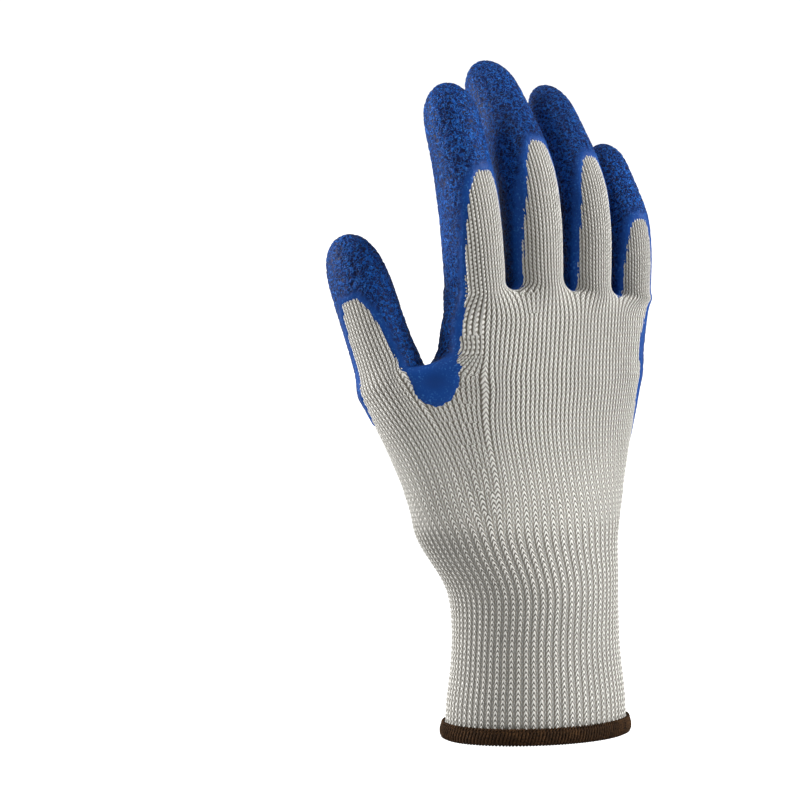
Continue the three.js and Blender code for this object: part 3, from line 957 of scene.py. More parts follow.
@dataclass
class Coverage:
    """How far each point of the knit lies inside the latex's edge, in millimetres.

    far is the cover where no window is near, and blend the size of the soft joint of two windows. The web's round
    patch and the dipped line are shares of the palm's sizes, the thumb's web's and the cuff's. Wave and nick are
    the heights and sizes of the edge's two kinds of small waves.
    """

    form: HandForm
    far: float = 30.0
    blend: float = 0.7
    web_round: float = 8.2
    web_across: float = -0.521
    web_forward: float = -0.094
    web_drop: float = 0.03
    dip_height: float = 1.5
    dip_half: float = 0.56
    dip_drop: float = 0.53
    wave: tuple[float, float] = (0.4, 2.2)
    nick: tuple[float, float] = (0.25, 1.0)

    def ragged(self, points: np.ndarray) -> np.ndarray:
        """Measures the cover with the small waves of a dipped edge."""
        (wave, wave_size), (nick, nick_size) = self.wave, self.nick
        return self.at(points) + (wave * noise_at(points, wave_size, 7.0) + nick * noise_at(points, nick_size, 8.0))

    def at(self, points: np.ndarray) -> np.ndarray:
        """Measures the cover.

        Args:
            points: one row a point.

        Returns:
            Distances to the nearest edge, positive under latex.
        """
        gaps = [self.back(points), self.dip(points), self.thumb(points)]
        gaps += [self.finger(points, finger) for finger in self.form.FINGERS]
        stack = np.stack(gaps)
        lowest = stack.min(axis=0)
        cover = lowest - self.blend * np.log(np.exp((lowest - stack) / self.blend).sum(axis=0))
        return np.maximum(cover, self.web(points))

    def tube(
        self,
        points: np.ndarray,
        frames: Sequence[tuple[float, Frame]],
        outline: np.ndarray,
        radius: float,
        reach: float,
    ) -> np.ndarray:
        """Unrolls the points round a tube and measures them from a window's outline.

        Args:
            points: one row a point.
            frames: places along the tube and the frames there.
            outline: the window, as arc and place along.
            radius: radius that the angles are unrolled on.
            reach: farthest distance from the tube's middle that the window reaches.

        Returns:
            Distances outside the window.
        """
        middles = np.array([frame.middle for _, frame in frames])
        near = np.full(len(points), -1)
        best = np.full(len(points), np.inf)
        for k, middle in enumerate(middles):
            square = ((points - middle) ** 2).sum(axis=1)
            closer = square < best
            near[closer] = k
            best[closer] = square[closer]
        inside = np.flatnonzero(best < (reach * 1.3) ** 2)
        result = np.full(len(points), self.far)
        k = near[inside]
        gap = points[inside] - middles[k]
        along = np.array([frame.along for _, frame in frames])[k]
        back = np.array([frame.back for _, frame in frames])[k]
        side = np.array([frame.side for _, frame in frames])[k]
        place = np.array([place for place, _ in frames])[k] + (gap * along).sum(axis=1)
        across, deep = (gap * side).sum(axis=1), (gap * back).sum(axis=1)
        arc = np.arctan2(across, deep) * radius
        distance = outline_distance(np.stack([arc, place], axis=1), outline)
        beyond = np.hypot(across, deep) - reach
        result[inside] = np.where(beyond > 0, np.maximum(distance, beyond), distance)
        return result

    def finger(self, points: np.ndarray, finger: Finger) -> np.ndarray:
        """Measures the points from the window on a finger's back."""
        form = self.form
        root = form.finger_frame(finger, 0.0)
        bare = form.FINGER_LENGTH * finger.bare
        length = form.FINGER_LENGTH * finger.length
        frames = []
        for share in np.linspace(-0.6, -0.05, 12):
            middle = root.middle + Vector((0, 0, share * bare))
            frame = Frame(middle, Vector((0, 0, 1)), Vector((0, -1, 0)), Vector((1, 0, 0)))
            frames.append((share * bare, frame))
        for share in np.linspace(0.0, min(1.0, finger.bare * 1.4), 30):
            frames.append((share * length, form.finger_frame(finger, float(share))))
        radius = form.FINGER_WIDTH * finger.width / 2
        rows = tuple(np.array(FINGER_WINDOW, float).T)
        places = np.linspace(rows[0][0], rows[0][-1], 40)
        heights = np.where(places < 0, places * bare, places * finger.bare * length)
        outline = window_outline(places, rows, heights, math.radians(finger.open) * radius, finger.skew)
        return self.tube(points, frames, outline, radius, 2 * radius)

    def thumb(self, points: np.ndarray) -> np.ndarray:
        """Measures the points from the window on the thumb."""
        form = self.form
        root = form.thumb_frame(0.0)
        frames = []
        for share in np.linspace(-0.85, -0.04, 20):
            middle = root.middle + root.along * (share * form.THUMB_LENGTH)
            frames.append((share * form.THUMB_LENGTH, Frame(middle, root.along, root.back, root.side)))
        for share in np.linspace(0.0, 0.8, 24):
            frames.append((share * form.THUMB_LENGTH, form.thumb_frame(float(share))))
        radius = form.THUMB_WIDTH / 2
        rows = tuple(np.array(THUMB_WINDOW, float).T)
        places = np.linspace(rows[0][0], rows[0][-1], 40)
        outline = window_outline(places, rows, places * form.THUMB_LENGTH, math.radians(radius))
        return self.tube(points, frames, outline, radius, 2.2 * radius)

    def back(self, points: np.ndarray) -> np.ndarray:
        """Measures the points from the window on the back of the hand."""
        form = self.form
        rise, shift, start, end = np.array(BACK_WINDOW, float).T
        height = form.thumb_web * np.minimum(rise, 1) + form.FINGER_WEB_RISE * np.maximum(rise - 1, 0)
        middle = form.PALM_WIDTH * np.interp(points[:, 2], height, shift)
        across = (points[:, 0] - middle) / form.PALM_WIDTH
        angle = np.arctan2(across, -points[:, 1] / form.PALM_DEPTH)
        radius = form.PALM_WIDTH / 4
        places = np.linspace(height[0], height[-1], 50)
        outline = window_outline(places, (height, start, end), places, math.radians(radius))
        return outline_distance(np.stack([angle * radius, points[:, 2]], axis=1), outline)

    def web(self, points: np.ndarray) -> np.ndarray:
        """Measures the points inside the round of latex that fills the web beside the thumb."""
        form = self.form
        middle = np.array((
            form.PALM_WIDTH * self.web_across,
            form.PALM_DEPTH * self.web_forward,
            form.thumb_web - form.THUMB_WEB_RISE * self.web_drop,
        ))
        return self.web_round - np.linalg.norm(points - middle, axis=1)

    def dip(self, points: np.ndarray) -> np.ndarray:
        """Measures how high the points lie above the line that the palm was dipped to."""
        form = self.form
        middle = form.CUFF_HEIGHT * self.dip_height
        half, drop = form.PALM_WIDTH * self.dip_half, form.PALM_WIDTH * self.dip_drop
        turn = np.linspace(0, math.pi, 40)
        line = np.stack([half * np.cos(turn), middle - drop * np.sin(turn)], axis=1)
        wide = 3 * form.PALM_WIDTH
        outline = np.concatenate([[[-wide, -wide], [wide, -wide], [wide, middle]], line, [[-wide, middle]]])
        return outline_distance(points[:, [0, 2]], outline)


def srgb(red: int, green: int, blue: int) -> tuple[float, float, float, float]:
    """Turns a colour as seen on a screen into the linear one that shaders use."""
    shares = [value / 255 for value in (red, green, blue)]
    linear = [x / 12.92 if x <= 0.04045 else ((x + 0.055) / 1.055) ** 2.4 for x in shares]
    return (*linear, 1.0)


Value = float | bpy.types.NodeSocket


class Nodes:
    """Adds nodes to one tree and joins them."""

    def __init__(self, tree: bpy.types.NodeTree) -> None:
        """Keeps the tree and clears it."""
        self.tree = tree
        tree.nodes.clear()

    def feed(self, socket: bpy.types.NodeSocket, value: object) -> None:
        """Sets a socket's own value, or links it to another socket."""
        if isinstance(value, bpy.types.NodeSocket):
            self.tree.links.new(value, socket)
        else:
            socket.default_value = value

    def add(self, kind: str, inputs: dict | None = None, **settings: object) -> bpy.types.Node:
        """Adds a node.

        Args:
            kind: its type.
            inputs: values or sockets by input name.
            **settings: the node's own settings.

        Returns:
            The node.
        """
        node = self.tree.nodes.new(kind)
        for key, value in settings.items():
            setattr(node, key, value)
        for name, value in (inputs or {}).items():
            self.feed(node.inputs[name], value)
        return node

    def math(self, operation: str, *values: Value) -> bpy.types.NodeSocket:
        """Adds a math node and gives its output."""
        node = self.tree.nodes.new("ShaderNodeMath")
        node.operation = operation
        for socket, value in zip(node.inputs, values):
            self.feed(socket, value)
        return node.outputs[0]

    def ease(
        self, value: Value, low: float, high: float, start: float = 0.0, end: float = 1.0
    ) -> bpy.types.NodeSocket:
        """Eases a value from start at low to end at high."""
        inputs = {"Value": value, "From Min": low, "From Max": high, "To Min": start, "To Max": end}
        return self.add("ShaderNodeMapRange", inputs, interpolation_type="SMOOTHSTEP").outputs["Result"]

    def distance(self, value: Value, middle: float) -> bpy.types.NodeSocket:
        """Gives how far a value is from a middle."""
        return self.math("ABSOLUTE", self.math("SUBTRACT", value, middle))

    def blend(self, share: Value, first: object, second: object, kind: str = "MIX") -> bpy.types.NodeSocket:
        """Mixes two colours and gives the result."""
        node = self.tree.nodes.new("ShaderNodeMix")
        node.data_type = "RGBA"
        node.blend_type = kind
        self.feed(node.inputs[0], share)
        self.feed(node.inputs[6], first)
        self.feed(node.inputs[7], second)
        return node.outputs[2]

    def shaded(self, colour: object, shade: Value) -> bpy.types.NodeSocket:
        """Multiplies a colour by a number."""
        tone = self.add("ShaderNodeCombineColor", {"Red": shade, "Green": shade, "Blue": shade}).outputs[0]
        return self.blend(1.0, colour, tone, "MULTIPLY")

    def noise(self, vector: bpy.types.NodeSocket, scale: float, detail: float = 2.0) -> bpy.types.NodeSocket:
        """Adds noise on a vector and gives its factor."""
        return self.add("ShaderNodeTexNoise", {"Vector": vector, "Scale": scale, "Detail": detail}).outputs["Fac"]

    def place(self) -> bpy.types.NodeSocket:
        """Gives the place on the piece, in metres."""
        return self.add("ShaderNodeTexCoord").outputs["Object"]

    def mark(self, name: str) -> bpy.types.NodeSocket:
        """Gives the value of one of the piece's attributes."""
        return self.add("ShaderNodeAttribute", attribute_name=name).outputs["Fac"]

    def bump(self, height: Value, strength: float, distance: float) -> bpy.types.NodeSocket:
        """Adds a bump and gives its normal."""
        inputs = {"Height": height, "Strength": strength, "Distance": distance}
        return self.add("ShaderNodeBump", inputs).outputs["Normal"]

    def surface(self, **inputs: object) -> bpy.types.Node:
        """Adds the material's shader and output, and gives the shader.

        Args:
            **inputs: values or sockets by input name, with _ for a space.

        Returns:
            The shader.
        """
        shader = self.add(
            "ShaderNodeBsdfPrincipled", {name.replace("_", " "): value for name, value in inputs.items()}
        )
        self.add("ShaderNodeOutputMaterial", {"Surface": shader.outputs["BSDF"]})
        return shader


def new_material(name: str) -> tuple[bpy.types.Material, Nodes]:
    """Starts a material, and gives it with its nodes."""
    material = bpy.data.materials.new(name)
    material.use_nodes = True
    return material, Nodes(material.node_tree)


def new_group(name: str, inputs: Sequence[tuple[str, str]], outputs: Sequence[tuple[str, str]]) -> bpy.types.NodeTree:
    """Starts a shader node group.

    Args:
        name: its name.
        inputs: names and socket types.
        outputs: names and socket types.

    Returns:
        The group, empty.
    """
    group = bpy.data.node_groups.new(name, "ShaderNodeTree")
    for label, kind in inputs:
        group.interface.new_socket(name=label, in_out="INPUT", socket_type=kind)
    for label, kind in outputs:
        group.interface.new_socket(name=label, in_out="OUTPUT", socket_type=kind)
    return group


# How much wider a raised wale of the cuff is on either side, and the heights where the cuff's ribs fade out
RIB_SHARE = 0.17
RIB_FADE = (0.07, 0.13)


def stitch_group() -> bpy.types.NodeTree:
    """Builds the knit's stitches: chevrons stacked up each wale, with holes under the apexes.

    Returns:
        A group that takes the stitch map and how far the wales stand apart as ropes, and gives height, strand
        (the share of each strand painted lit) and Hole_shade (where painted shade darkens the holes and gaps).
    """
    number = "NodeSocketFloat"
    group = new_group(
        "stitches",
        [("Map", "NodeSocketVector"), ("Slope", number), ("Wander", number), ("Ropes", number)],
        [("Height", number), ("Strand", number), ("Hole_shade", number)],
    )
    nodes = Nodes(group)
    source = nodes.add("NodeGroupInput").outputs
    parts = nodes.add("ShaderNodeSeparateXYZ", {"Vector": source["Map"]}).outputs
    ropes = source["Ropes"]
    loose = nodes.math("SUBTRACT", nodes.noise(source["Map"], 0.7, 1.0), 0.5)
    loose = nodes.math("MULTIPLY", loose, source["Wander"])
    widened = nodes.math("COSINE", nodes.math("MULTIPLY", parts["X"], math.pi))
    widened = nodes.math("MULTIPLY", widened, nodes.ease(ropes, 0.0, 1.0, RIB_SHARE, 0.0))
    wale = nodes.math("ADD", parts["X"], nodes.math("ADD", widened, nodes.math("MULTIPLY", loose, 0.3)))
    wale = nodes.math("FRACT", wale)
    border = nodes.distance(nodes.math("MULTIPLY", wale, 2.0), 1.0)
    level = nodes.math("ADD", parts["Y"], loose)
    course = nodes.math("FRACT", nodes.math("ADD", level, nodes.math("MULTIPLY", border, source["Slope"])))
    arm = nodes.math("POWER", nodes.math("SINE", nodes.math("MULTIPLY", course, math.pi)), 0.6)
    gap = nodes.distance(course, 0.5)
    reach = nodes.math("ADD", border, nodes.math("MULTIPLY", gap, 0.8))
    side = nodes.ease(reach, 1.1, 0.55)
    # Painted shade: the holes under the apexes, and the gaps between the wales where they stand apart as ropes
    hole_shade = nodes.math("MULTIPLY", nodes.ease(border, 0.75, 0.15), nodes.ease(gap, 0.22, 0.42))
    hole_shade = nodes.math("MULTIPLY", hole_shade, nodes.ease(ropes, 0.0, 1.0, 1.0, 0.45))
    gap_shade = nodes.math("MULTIPLY", nodes.ease(reach, 0.66, 1.08), nodes.ease(ropes, 0.0, 1.0, 0.45, 1.0))
    # shown marks where painted shade darkens the knit's colour, in its holes and gaps
    shown = nodes.math("MAXIMUM", hole_shade, gap_shade)
    tall = nodes.math("ADD", nodes.math("MULTIPLY", side, 0.75), 0.25)
    height = nodes.math("MULTIPLY", nodes.math("MULTIPLY", arm, tall), nodes.math("SUBTRACT", 1.0, shown))
    strand = nodes.math("MULTIPLY", arm, side)
    nodes.add("NodeGroupOutput", {"Height": height, "Strand": strand, "Hole_shade": shown})
    return group


@dataclass(frozen=True)
class KnitFinish:
    """Off-white cotton knit: painted lit strands, painted shade grey between the ribs and on the cuff's sunk wales,
    dark painted shade in the holes.
    """

    name: str
    # light is the painted lit strands, middle the painted shade grey on their sides and between the ribs, hole the
    # painted shade in the holes and gaps
    light: tuple[int, int, int] = (228, 226, 220)
    middle: tuple[int, int, int] = (168, 163, 152)
    hole_shade: tuple[int, int, int] = (70, 63, 50)
    slope: float = 1.15
    wander: float = 0.4
    fibres: float = 1500.0
    clouds: float = 60.0
    sunk_shade: float = 0.82
    roughness: float = 0.92
    sheen: float = 0.25
    bump: float = 0.00035

    def build(self, stitches: bpy.types.NodeTree) -> bpy.types.Material:
        """Makes the material.

        Args:
            stitches: the stitch group.

        Returns:
            The material.
        """
        material, nodes = new_material(self.name)
        place = nodes.place()
        pattern = nodes.add("ShaderNodeGroup", node_tree=stitches)
        nodes.feed(pattern.inputs["Map"], nodes.add("ShaderNodeUVMap", uv_map="stitch").outputs["UV"])
        pattern.inputs["Slope"].default_value = self.slope
        pattern.inputs["Wander"].default_value = self.wander
        rise = nodes.add("ShaderNodeSeparateXYZ", {"Vector": place}).outputs["Z"]
        nodes.feed(pattern.inputs["Ropes"], nodes.ease(rise, *RIB_FADE))
        fibre = nodes.noise(place, self.fibres, 3.0)
        # Painted light and shade: the strands' tops painted lit, their sides and the gaps painted grey
        lit = nodes.ease(pattern.outputs["Strand"], 0.15, 0.95)
        colour = nodes.blend(lit, srgb(*self.middle), srgb(*self.light))
        # Painted shade: the holes and the gaps between the wales darkened towards a dark brown-grey
        colour = nodes.blend(nodes.math("MULTIPLY", pattern.outputs["Hole_shade"], 0.85), colour, srgb(*self.hole_shade))
        # Painted shade on the cuff's sunk wales, multiplied by random tone from the fibres and clouds
        shade = nodes.ease(nodes.mark("raised"), 0.0, 0.7, self.sunk_shade, 1.0)
        shade = nodes.math("MULTIPLY", shade, nodes.ease(fibre, 0.25, 0.75, 0.93, 1.04))
        shade = nodes.math("MULTIPLY", shade, nodes.ease(nodes.noise(place, self.clouds), 0.3, 0.7, 0.97, 1.02))
        height = nodes.math("ADD", pattern.outputs["Height"], nodes.math("MULTIPLY", fibre, 0.18))
        shader = nodes.surface(
            Base_Color=nodes.shaded(colour, shade),
            Roughness=self.roughness,
            Sheen_Weight=self.sheen,
            Normal=nodes.bump(height, 1.0, self.bump),
        )
        shader.inputs["Sheen Roughness"].default_value = 0.6
        return material


@dataclass(frozen=True)
class LatexFinish:
    """Deep blue crinkled latex: lit blue on its ridges, painted shade near navy in its creases, painted glints on its
    crests.
    """

    name: str
    # crease and trough are painted shade in the crinkle's creases, ridge the lit blue of its ridges, crest painted
    # glints, band the smooth rim's blue
    crease_shade: tuple[int, int, int] = (4, 18, 58)
    trough_shade: tuple[int, int, int] = (5, 30, 84)
    ridge: tuple[int, int, int] = (12, 80, 164)
    glint_highlight: tuple[int, int, int] = (70, 134, 208)
    band: tuple[int, int, int] = (14, 64, 136)
    roughness: float = 0.5
    gloss: float = 0.12
    worms: float = 800.0
    grain: float = 1500.0
    clouds: float = 55.0
    bump: float = 0.0003

    def build(self) -> bpy.types.Material:
        """Makes the material.

        Returns:
            The material.
        """
        material, nodes = new_material(self.name)
        place = nodes.place()
        ridge, edge = nodes.mark("ridge"), nodes.mark("edge")
        fine = nodes.noise(place, self.grain)
        winding = nodes.add(
            "ShaderNodeTexNoise", {"Vector": place, "Scale": self.worms, "Detail": 1.0, "Distortion": 0.5}
        ).outputs["Fac"]
        crossing = nodes.noise(place, self.worms * 0.74, 0.0)
        worm = nodes.math(
            "MAXIMUM",
            nodes.ease(nodes.distance(winding, 0.5), 0.07, 0.01),
            nodes.ease(nodes.distance(crossing, 0.47), 0.06, 0.01, 0.0, 0.8),
        )
        worm = nodes.math("MULTIPLY", worm, edge)
        # Painted shade: the crinkle's creases and troughs darkened towards navy, the worm ridges kept lit blue
        deep = nodes.blend(nodes.ease(ridge, 0.0, 0.9), srgb(*self.crease_shade), srgb(*self.trough_shade))
        colour = nodes.blend(worm, deep, srgb(*self.ridge))
        # Painted glints on the worms' crests
        glint_highlight = nodes.math("MULTIPLY", worm, nodes.ease(fine, 0.5, 0.72, 0.0, 0.6))
        colour = nodes.blend(glint_highlight, colour, srgb(*self.glint_highlight))
        # The smooth rim's blue, with painted shade towards navy where it runs deep into the web
        band = nodes.blend(nodes.ease(ridge, 0.05, 0.7), srgb(*self.crease_shade), srgb(*self.band))
        # Painted highlight specks on the rim
        speck_highlight = nodes.math("MULTIPLY", nodes.ease(fine, 0.56, 0.72, 0.0, 0.5), nodes.ease(ridge, 0.5, 0.75))
        band = nodes.blend(speck_highlight, band, srgb(*self.glint_highlight))
        colour = nodes.blend(nodes.ease(edge, 0.0, 1.0, 0.85, 0.0), colour, band)
        height = nodes.math("ADD", worm, nodes.math("MULTIPLY", fine, 0.25))
        shader = nodes.surface(
            Base_Color=nodes.shaded(colour, nodes.ease(nodes.noise(place, self.clouds), 0.3, 0.7, 0.85, 1.1)),
            Roughness=nodes.ease(fine, 0.3, 0.7, self.roughness - 0.06, self.roughness + 0.1),
            Normal=nodes.bump(height, 0.9, self.bump),
        )
        shader.inputs["Specular IOR Level"].default_value = self.gloss
        return material


@dataclass(frozen=True)
class ThreadFinish:
    """Dark brown overlock thread, a little lighter where its fibres catch light."""

    name: str
    dark: tuple[int, int, int] = (28, 17, 8)
    light: tuple[int, int, int] = (84, 58, 34)
    roughness: float = 0.9
    gloss: float = 0.15
    fibres: float = 1800.0
    clouds: float = 180.0
    bump: float = 0.0001

    def build(self) -> bpy.types.Material:
        """Makes the material.

        Returns:
            The material.
        """
        material, nodes = new_material(self.name)
        place = nodes.place()
        fibre = nodes.noise(place, self.fibres, 3.0)
        share = nodes.ease(nodes.noise(place, self.clouds), 0.3, 0.7, 0.4, 1.0)
        share = nodes.math("MULTIPLY", nodes.ease(fibre, 0.3, 0.7), share)
        shader = nodes.surface(
            Base_Color=nodes.blend(share, srgb(*self.dark), srgb(*self.light)),
            Roughness=self.roughness,
            Normal=nodes.bump(fibre, 0.7, self.bump),
        )
        shader.inputs["Specular IOR Level"].default_value = self.gloss
        return material


@dataclass(frozen=True)
class FloorFinish:
    """Plain white floor, seen as brightly as the backdrop so that it has no horizon."""

    name: str
    tone: float = 0.65
    glow: float = 1.1

    def build(self) -> bpy.types.Material:
        """Makes the material.

        Returns:
            The material.
        """
        material, nodes = new_material(self.name)
        seen = nodes.add("ShaderNodeLightPath").outputs["Is Camera Ray"]
        shader = nodes.surface(Emission_Strength=nodes.math("MULTIPLY", seen, self.glow))
        shader.inputs["Base Color"].default_value = (self.tone, self.tone, self.tone, 1.0)
        shader.inputs["Emission Color"].default_value = (1.0, 1.0, 1.0, 1.0)
        shader.inputs["Roughness"].default_value = 0.9
        return material


def kept_piece(
    name: str, surface: FineSurface, points: np.ndarray, keep: np.ndarray, values: dict[str, np.ndarray]
) -> bpy.types.Object:
    """Makes a piece from some faces of the moved surface, with the whole surface's normals.

    Args:
        name: the piece's name.
        surface: the fine surface.
        points: its moved vertices, in millimetres.
        keep: which faces stay.
        values: attributes for the vertices.

    Returns:
        The piece's object.
    """
    mesh = surface.mesh.copy()
    mesh.vertices.foreach_set("co", (points * MM).astype(np.float32).ravel())
    mesh.update()
    normals = vertex_normals(mesh).astype(np.float32).ravel()
    mesh.attributes.new("whole_normal", "FLOAT_VECTOR", "POINT").data.foreach_set("vector", normals)
    for label, numbers in values.items():
        layer = mesh.attributes.new(label, "FLOAT", "POINT")
        layer.data.foreach_set("value", numbers.astype(np.float32))
    bm = bmesh.new()
    bm.from_mesh(mesh)
    drop = [face for face, stays in zip(bm.faces, keep.tolist()) if not stays]
    bmesh.ops.delete(bm, geom=drop, context="FACES")
    bm.to_mesh(mesh)
    bm.free()
    mesh.name = name
    mesh.polygons.foreach_set("use_smooth", np.ones(len(mesh.polygons), bool))
    normals = np.empty(len(mesh.vertices) * 3, np.float32)
    mesh.attributes["whole_normal"].data.foreach_get("vector", normals)
    mesh.normals_split_custom_set_from_vertices([tuple(row) for row in normals.reshape(-1, 3).tolist()])
    for label in ("whole_normal", "course", "zone"):
        mesh.attributes.remove(mesh.attributes[label])
    piece = bpy.data.objects.new(name, mesh)
    bpy.context.scene.collection.objects.link(piece)
    return piece


def report_piece(piece: bpy.types.Object) -> None:
    """Writes a piece's name and size to the log."""
    triangles = sum(len(face.vertices) - 2 for face in piece.data.polygons)
    LOG.info("%s: %d triangles", piece.name, triangles)


@dataclass
class KnitShell:
    """The knit where it shows: its relief of wales, ribs and chevrons, and the plain inside of its wall.

    Lengths are in millimetres. The ribs end between two heights given from the cuff's top, and the knit is kept
    up to under_latex past the latex's edge.
    """

    form: HandForm
    surface: FineSurface
    cover: np.ndarray
    rib_height: float = 0.4
    wale_height: float = 0.24
    arm_height: float = 0.16
    slope: float = 1.15
    ribs_end: tuple[float, float] = (-8.0, 14.0)
    wall: float = 1.3
    under_latex: float = 2.2

    def raised(self) -> np.ndarray:
        """Gives how far each vertex stands on a raised rib, 1 everywhere above the cuff."""
        rib = 0.5 + 0.5 * np.cos(math.pi * (self.surface.wale - 0.5))
        low, high = (self.form.CUFF_HEIGHT + offset for offset in self.ribs_end)
        plain = smoothstep(low, high, self.surface.points[:, 2])
        return rib * (1 - plain) + plain

    def relief(self) -> np.ndarray:
        """Gives the knit's height over its mean face."""
        surface = self.surface
        ropes = smoothstep(RIB_FADE[0] / MM, RIB_FADE[1] / MM, surface.points[:, 2])
        wale = surface.wale + RIB_SHARE * np.cos(math.pi * surface.wale) * (1 - ropes)
        border = np.abs(2 * np.mod(wale, 1.0) - 1)
        arm = np.sin(math.pi * np.mod(surface.course + self.slope * border, 1.0)) ** 2
        raised = self.raised()
        rib = smoothstep(0.2, 0.8, raised) - 0.6
        strand = self.wale_height * (1 - border**3) + self.arm_height * arm * (1 - border**4) - 0.2
        return self.rib_height * rib * (raised < 0.999) + strand

    def build(self, finish: bpy.types.Material) -> list[bpy.types.Object]:
        """Makes the cuff's piece and the hand's.

        Args:
            finish: the knit's material.

        Returns:
            The pieces.
        """
        surface = self.surface
        points = surface.points + surface.normals * self.relief()[:, None]
        shown = surface.faces_mean(self.cover) < self.under_latex
        cuff = surface.zone == Zone.CUFF.value
        values = {"raised": self.raised()}
        pieces = []
        for name, keep in (("knit_cuff", cuff), ("knit_hand", shown & ~cuff)):
            piece = kept_piece(name, surface, points, keep, values)
            piece.data.materials.append(finish)
            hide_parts("knit_liner")
            pieces.append(piece)
        return pieces

    def lining(self, cage: bpy.types.Mesh, finish: bpy.types.Material) -> bpy.types.Object:
        """Makes the inside of the knit's wall.

        Args:
            cage: the fitted cage.
            finish: the lining's material.

        Returns:
            The piece.
        """
        mesh = refined(cage, LINING_LEVELS)
        moved = (vertex_points(mesh) - vertex_normals(mesh) * self.wall) * MM
        mesh.vertices.foreach_set("co", moved.astype(np.float32).ravel())
        bm = bmesh.new()
        bm.from_mesh(mesh)
        bmesh.ops.reverse_faces(bm, faces=bm.faces)
        bm.to_mesh(mesh)
        bm.free()
        mesh.name = "knit_lining"
        mesh.polygons.foreach_set("use_smooth", np.ones(len(mesh.polygons), bool))
        mesh.materials.append(finish)
        piece = bpy.data.objects.new("knit_lining", mesh)
        bpy.context.scene.collection.objects.link(piece)
        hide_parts("knit_liner")
        return piece


@dataclass
class LatexSkin:
    """The latex over the palm, fingers and thumb: crinkled, and thin and smooth along its edges.

    Lengths are in millimetres. Crossing is the size of the creases that cross the crinkle, as a share of its own.
    The bands are ranges of cover over which the smooth rim ends, and web_shade_span the one over which painted shade
    deepens in the web.
    """

    form: HandForm
    surface: FineSurface
    cover: np.ndarray
    crinkle_size: float = 1.25
    crinkle_height: float = 0.2
    bend: float = 0.35
    bend_size: float = 1.6
    crossing: float = 1.8
    band: tuple[float, float] = (0.6, 4.2)
    band_tone: float = 0.75
    web_band: tuple[float, float] = (-3.0, 1.0)
    web_shade_span: tuple[float, float] = (0.5, 7.5)
    web_shade: float = 0.35
    wall: float = 0.62
    reach: float = -0.9

    def ridge(self) -> np.ndarray:
        """Gives the crinkle: 1 on the ridges, 0 in the creases that wind between them."""
        points = self.surface.points
        bent = points.copy()
        for axis in range(3):
            bent[:, axis] += self.bend * noise_at(points, self.bend_size, 3.0 + axis)
        worms = noise_at(bent, self.crinkle_size, 1.0)
        crossing = np.abs(noise_at(points, self.crossing * self.crinkle_size, 2.0))
        return smoothstep(-0.22, 0.2, worms) * (0.55 + 0.45 * smoothstep(0.0, 0.16, crossing))

    def build(self, finish: bpy.types.Material) -> list[bpy.types.Object]:
        """Makes the latex in four pieces.

        Args:
            finish: the latex's material.

        Returns:
            The pieces.
        """
        surface = self.surface
        ridge = self.ridge()
        web = Coverage(self.form).web(surface.points)
        edge = smoothstep(*self.band, self.cover) * (1 - smoothstep(*self.web_band, web))
        base = np.interp(self.cover, [-1.0, 0.0, 0.8, 2.5], [-0.5, 0.1, 0.5, self.wall])
        # The rim's tone, with painted shade deepening into the web beside the thumb
        band = self.band_tone * (1 - edge) * (1 - self.web_shade * smoothstep(*self.web_shade_span, web))
        # shown, kept as the ridge attribute, sets the painted shade in the creases and in the web
        shown = ridge * edge + band
        height = base + self.crinkle_height * (ridge - 0.5) * edge
        points = surface.points + surface.normals * height[:, None]
        covered = surface.faces_mean(self.cover) > self.reach
        zones = {
            "latex_palm": (Zone.CUFF, Zone.HAND),
            "latex_thumb": (Zone.THUMB,),
            "latex_fingers": (Zone.INDEX, Zone.MIDDLE),
            "latex_fingers_outer": (Zone.RING, Zone.LITTLE),
        }
        pieces = []
        for name, members in zones.items():
            keep = covered & np.isin(surface.zone, [zone.value for zone in members])
            piece = kept_piece(name, surface, points, keep, {"ridge": shown, "edge": edge})
            piece.data.materials.append(finish)
            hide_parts("latex_coating")
            pieces.append(piece)
        return pieces


def swept(bm: bmesh.types.BMesh, path: Sequence[Vector], radius: float, sides: int, up: Vector, closed: bool) -> None:
    """Sweeps a round thread along a path, by extruding a circle from point to point.

    Args:
        bm: mesh to add to.
        path: the path's points.
        radius: the thread's radius.
        sides: sides of its section.
        up: direction that the section's first point keeps to.
        closed: whether the path meets its own start.
    """
    first: Loop = []
    loop: Loop = []
    for i, point in enumerate(path):
        ahead = path[(i + 1) % len(path)] if closed or i + 1 < len(path) else point
        behind = path[i - 1] if closed or i > 0 else point
        along = (ahead - behind).normalized()
        side = along.cross(up).normalized()
        top = side.cross(along)
        ring = []
        for k in range(sides):
            angle = 2 * math.pi * k / sides
            ring.append(point + side * (radius * math.cos(angle)) + top * (radius * math.sin(angle)))
        if not loop:
            made = bmesh.ops.create_circle(bm, cap_ends=not closed, segments=sides, radius=radius)
            loop = list(made["verts"])
            first = loop
        else:
            loop = extruded(bm, loop)
        for vert, place in zip(loop, ring):
            vert.co = place
    if closed:
        bmesh.ops.bridge_loops(bm, edges=loop_edges(bm, first) + loop_edges(bm, loop))
    else:
        bmesh.ops.contextual_create(bm, geom=loop_edges(bm, loop))


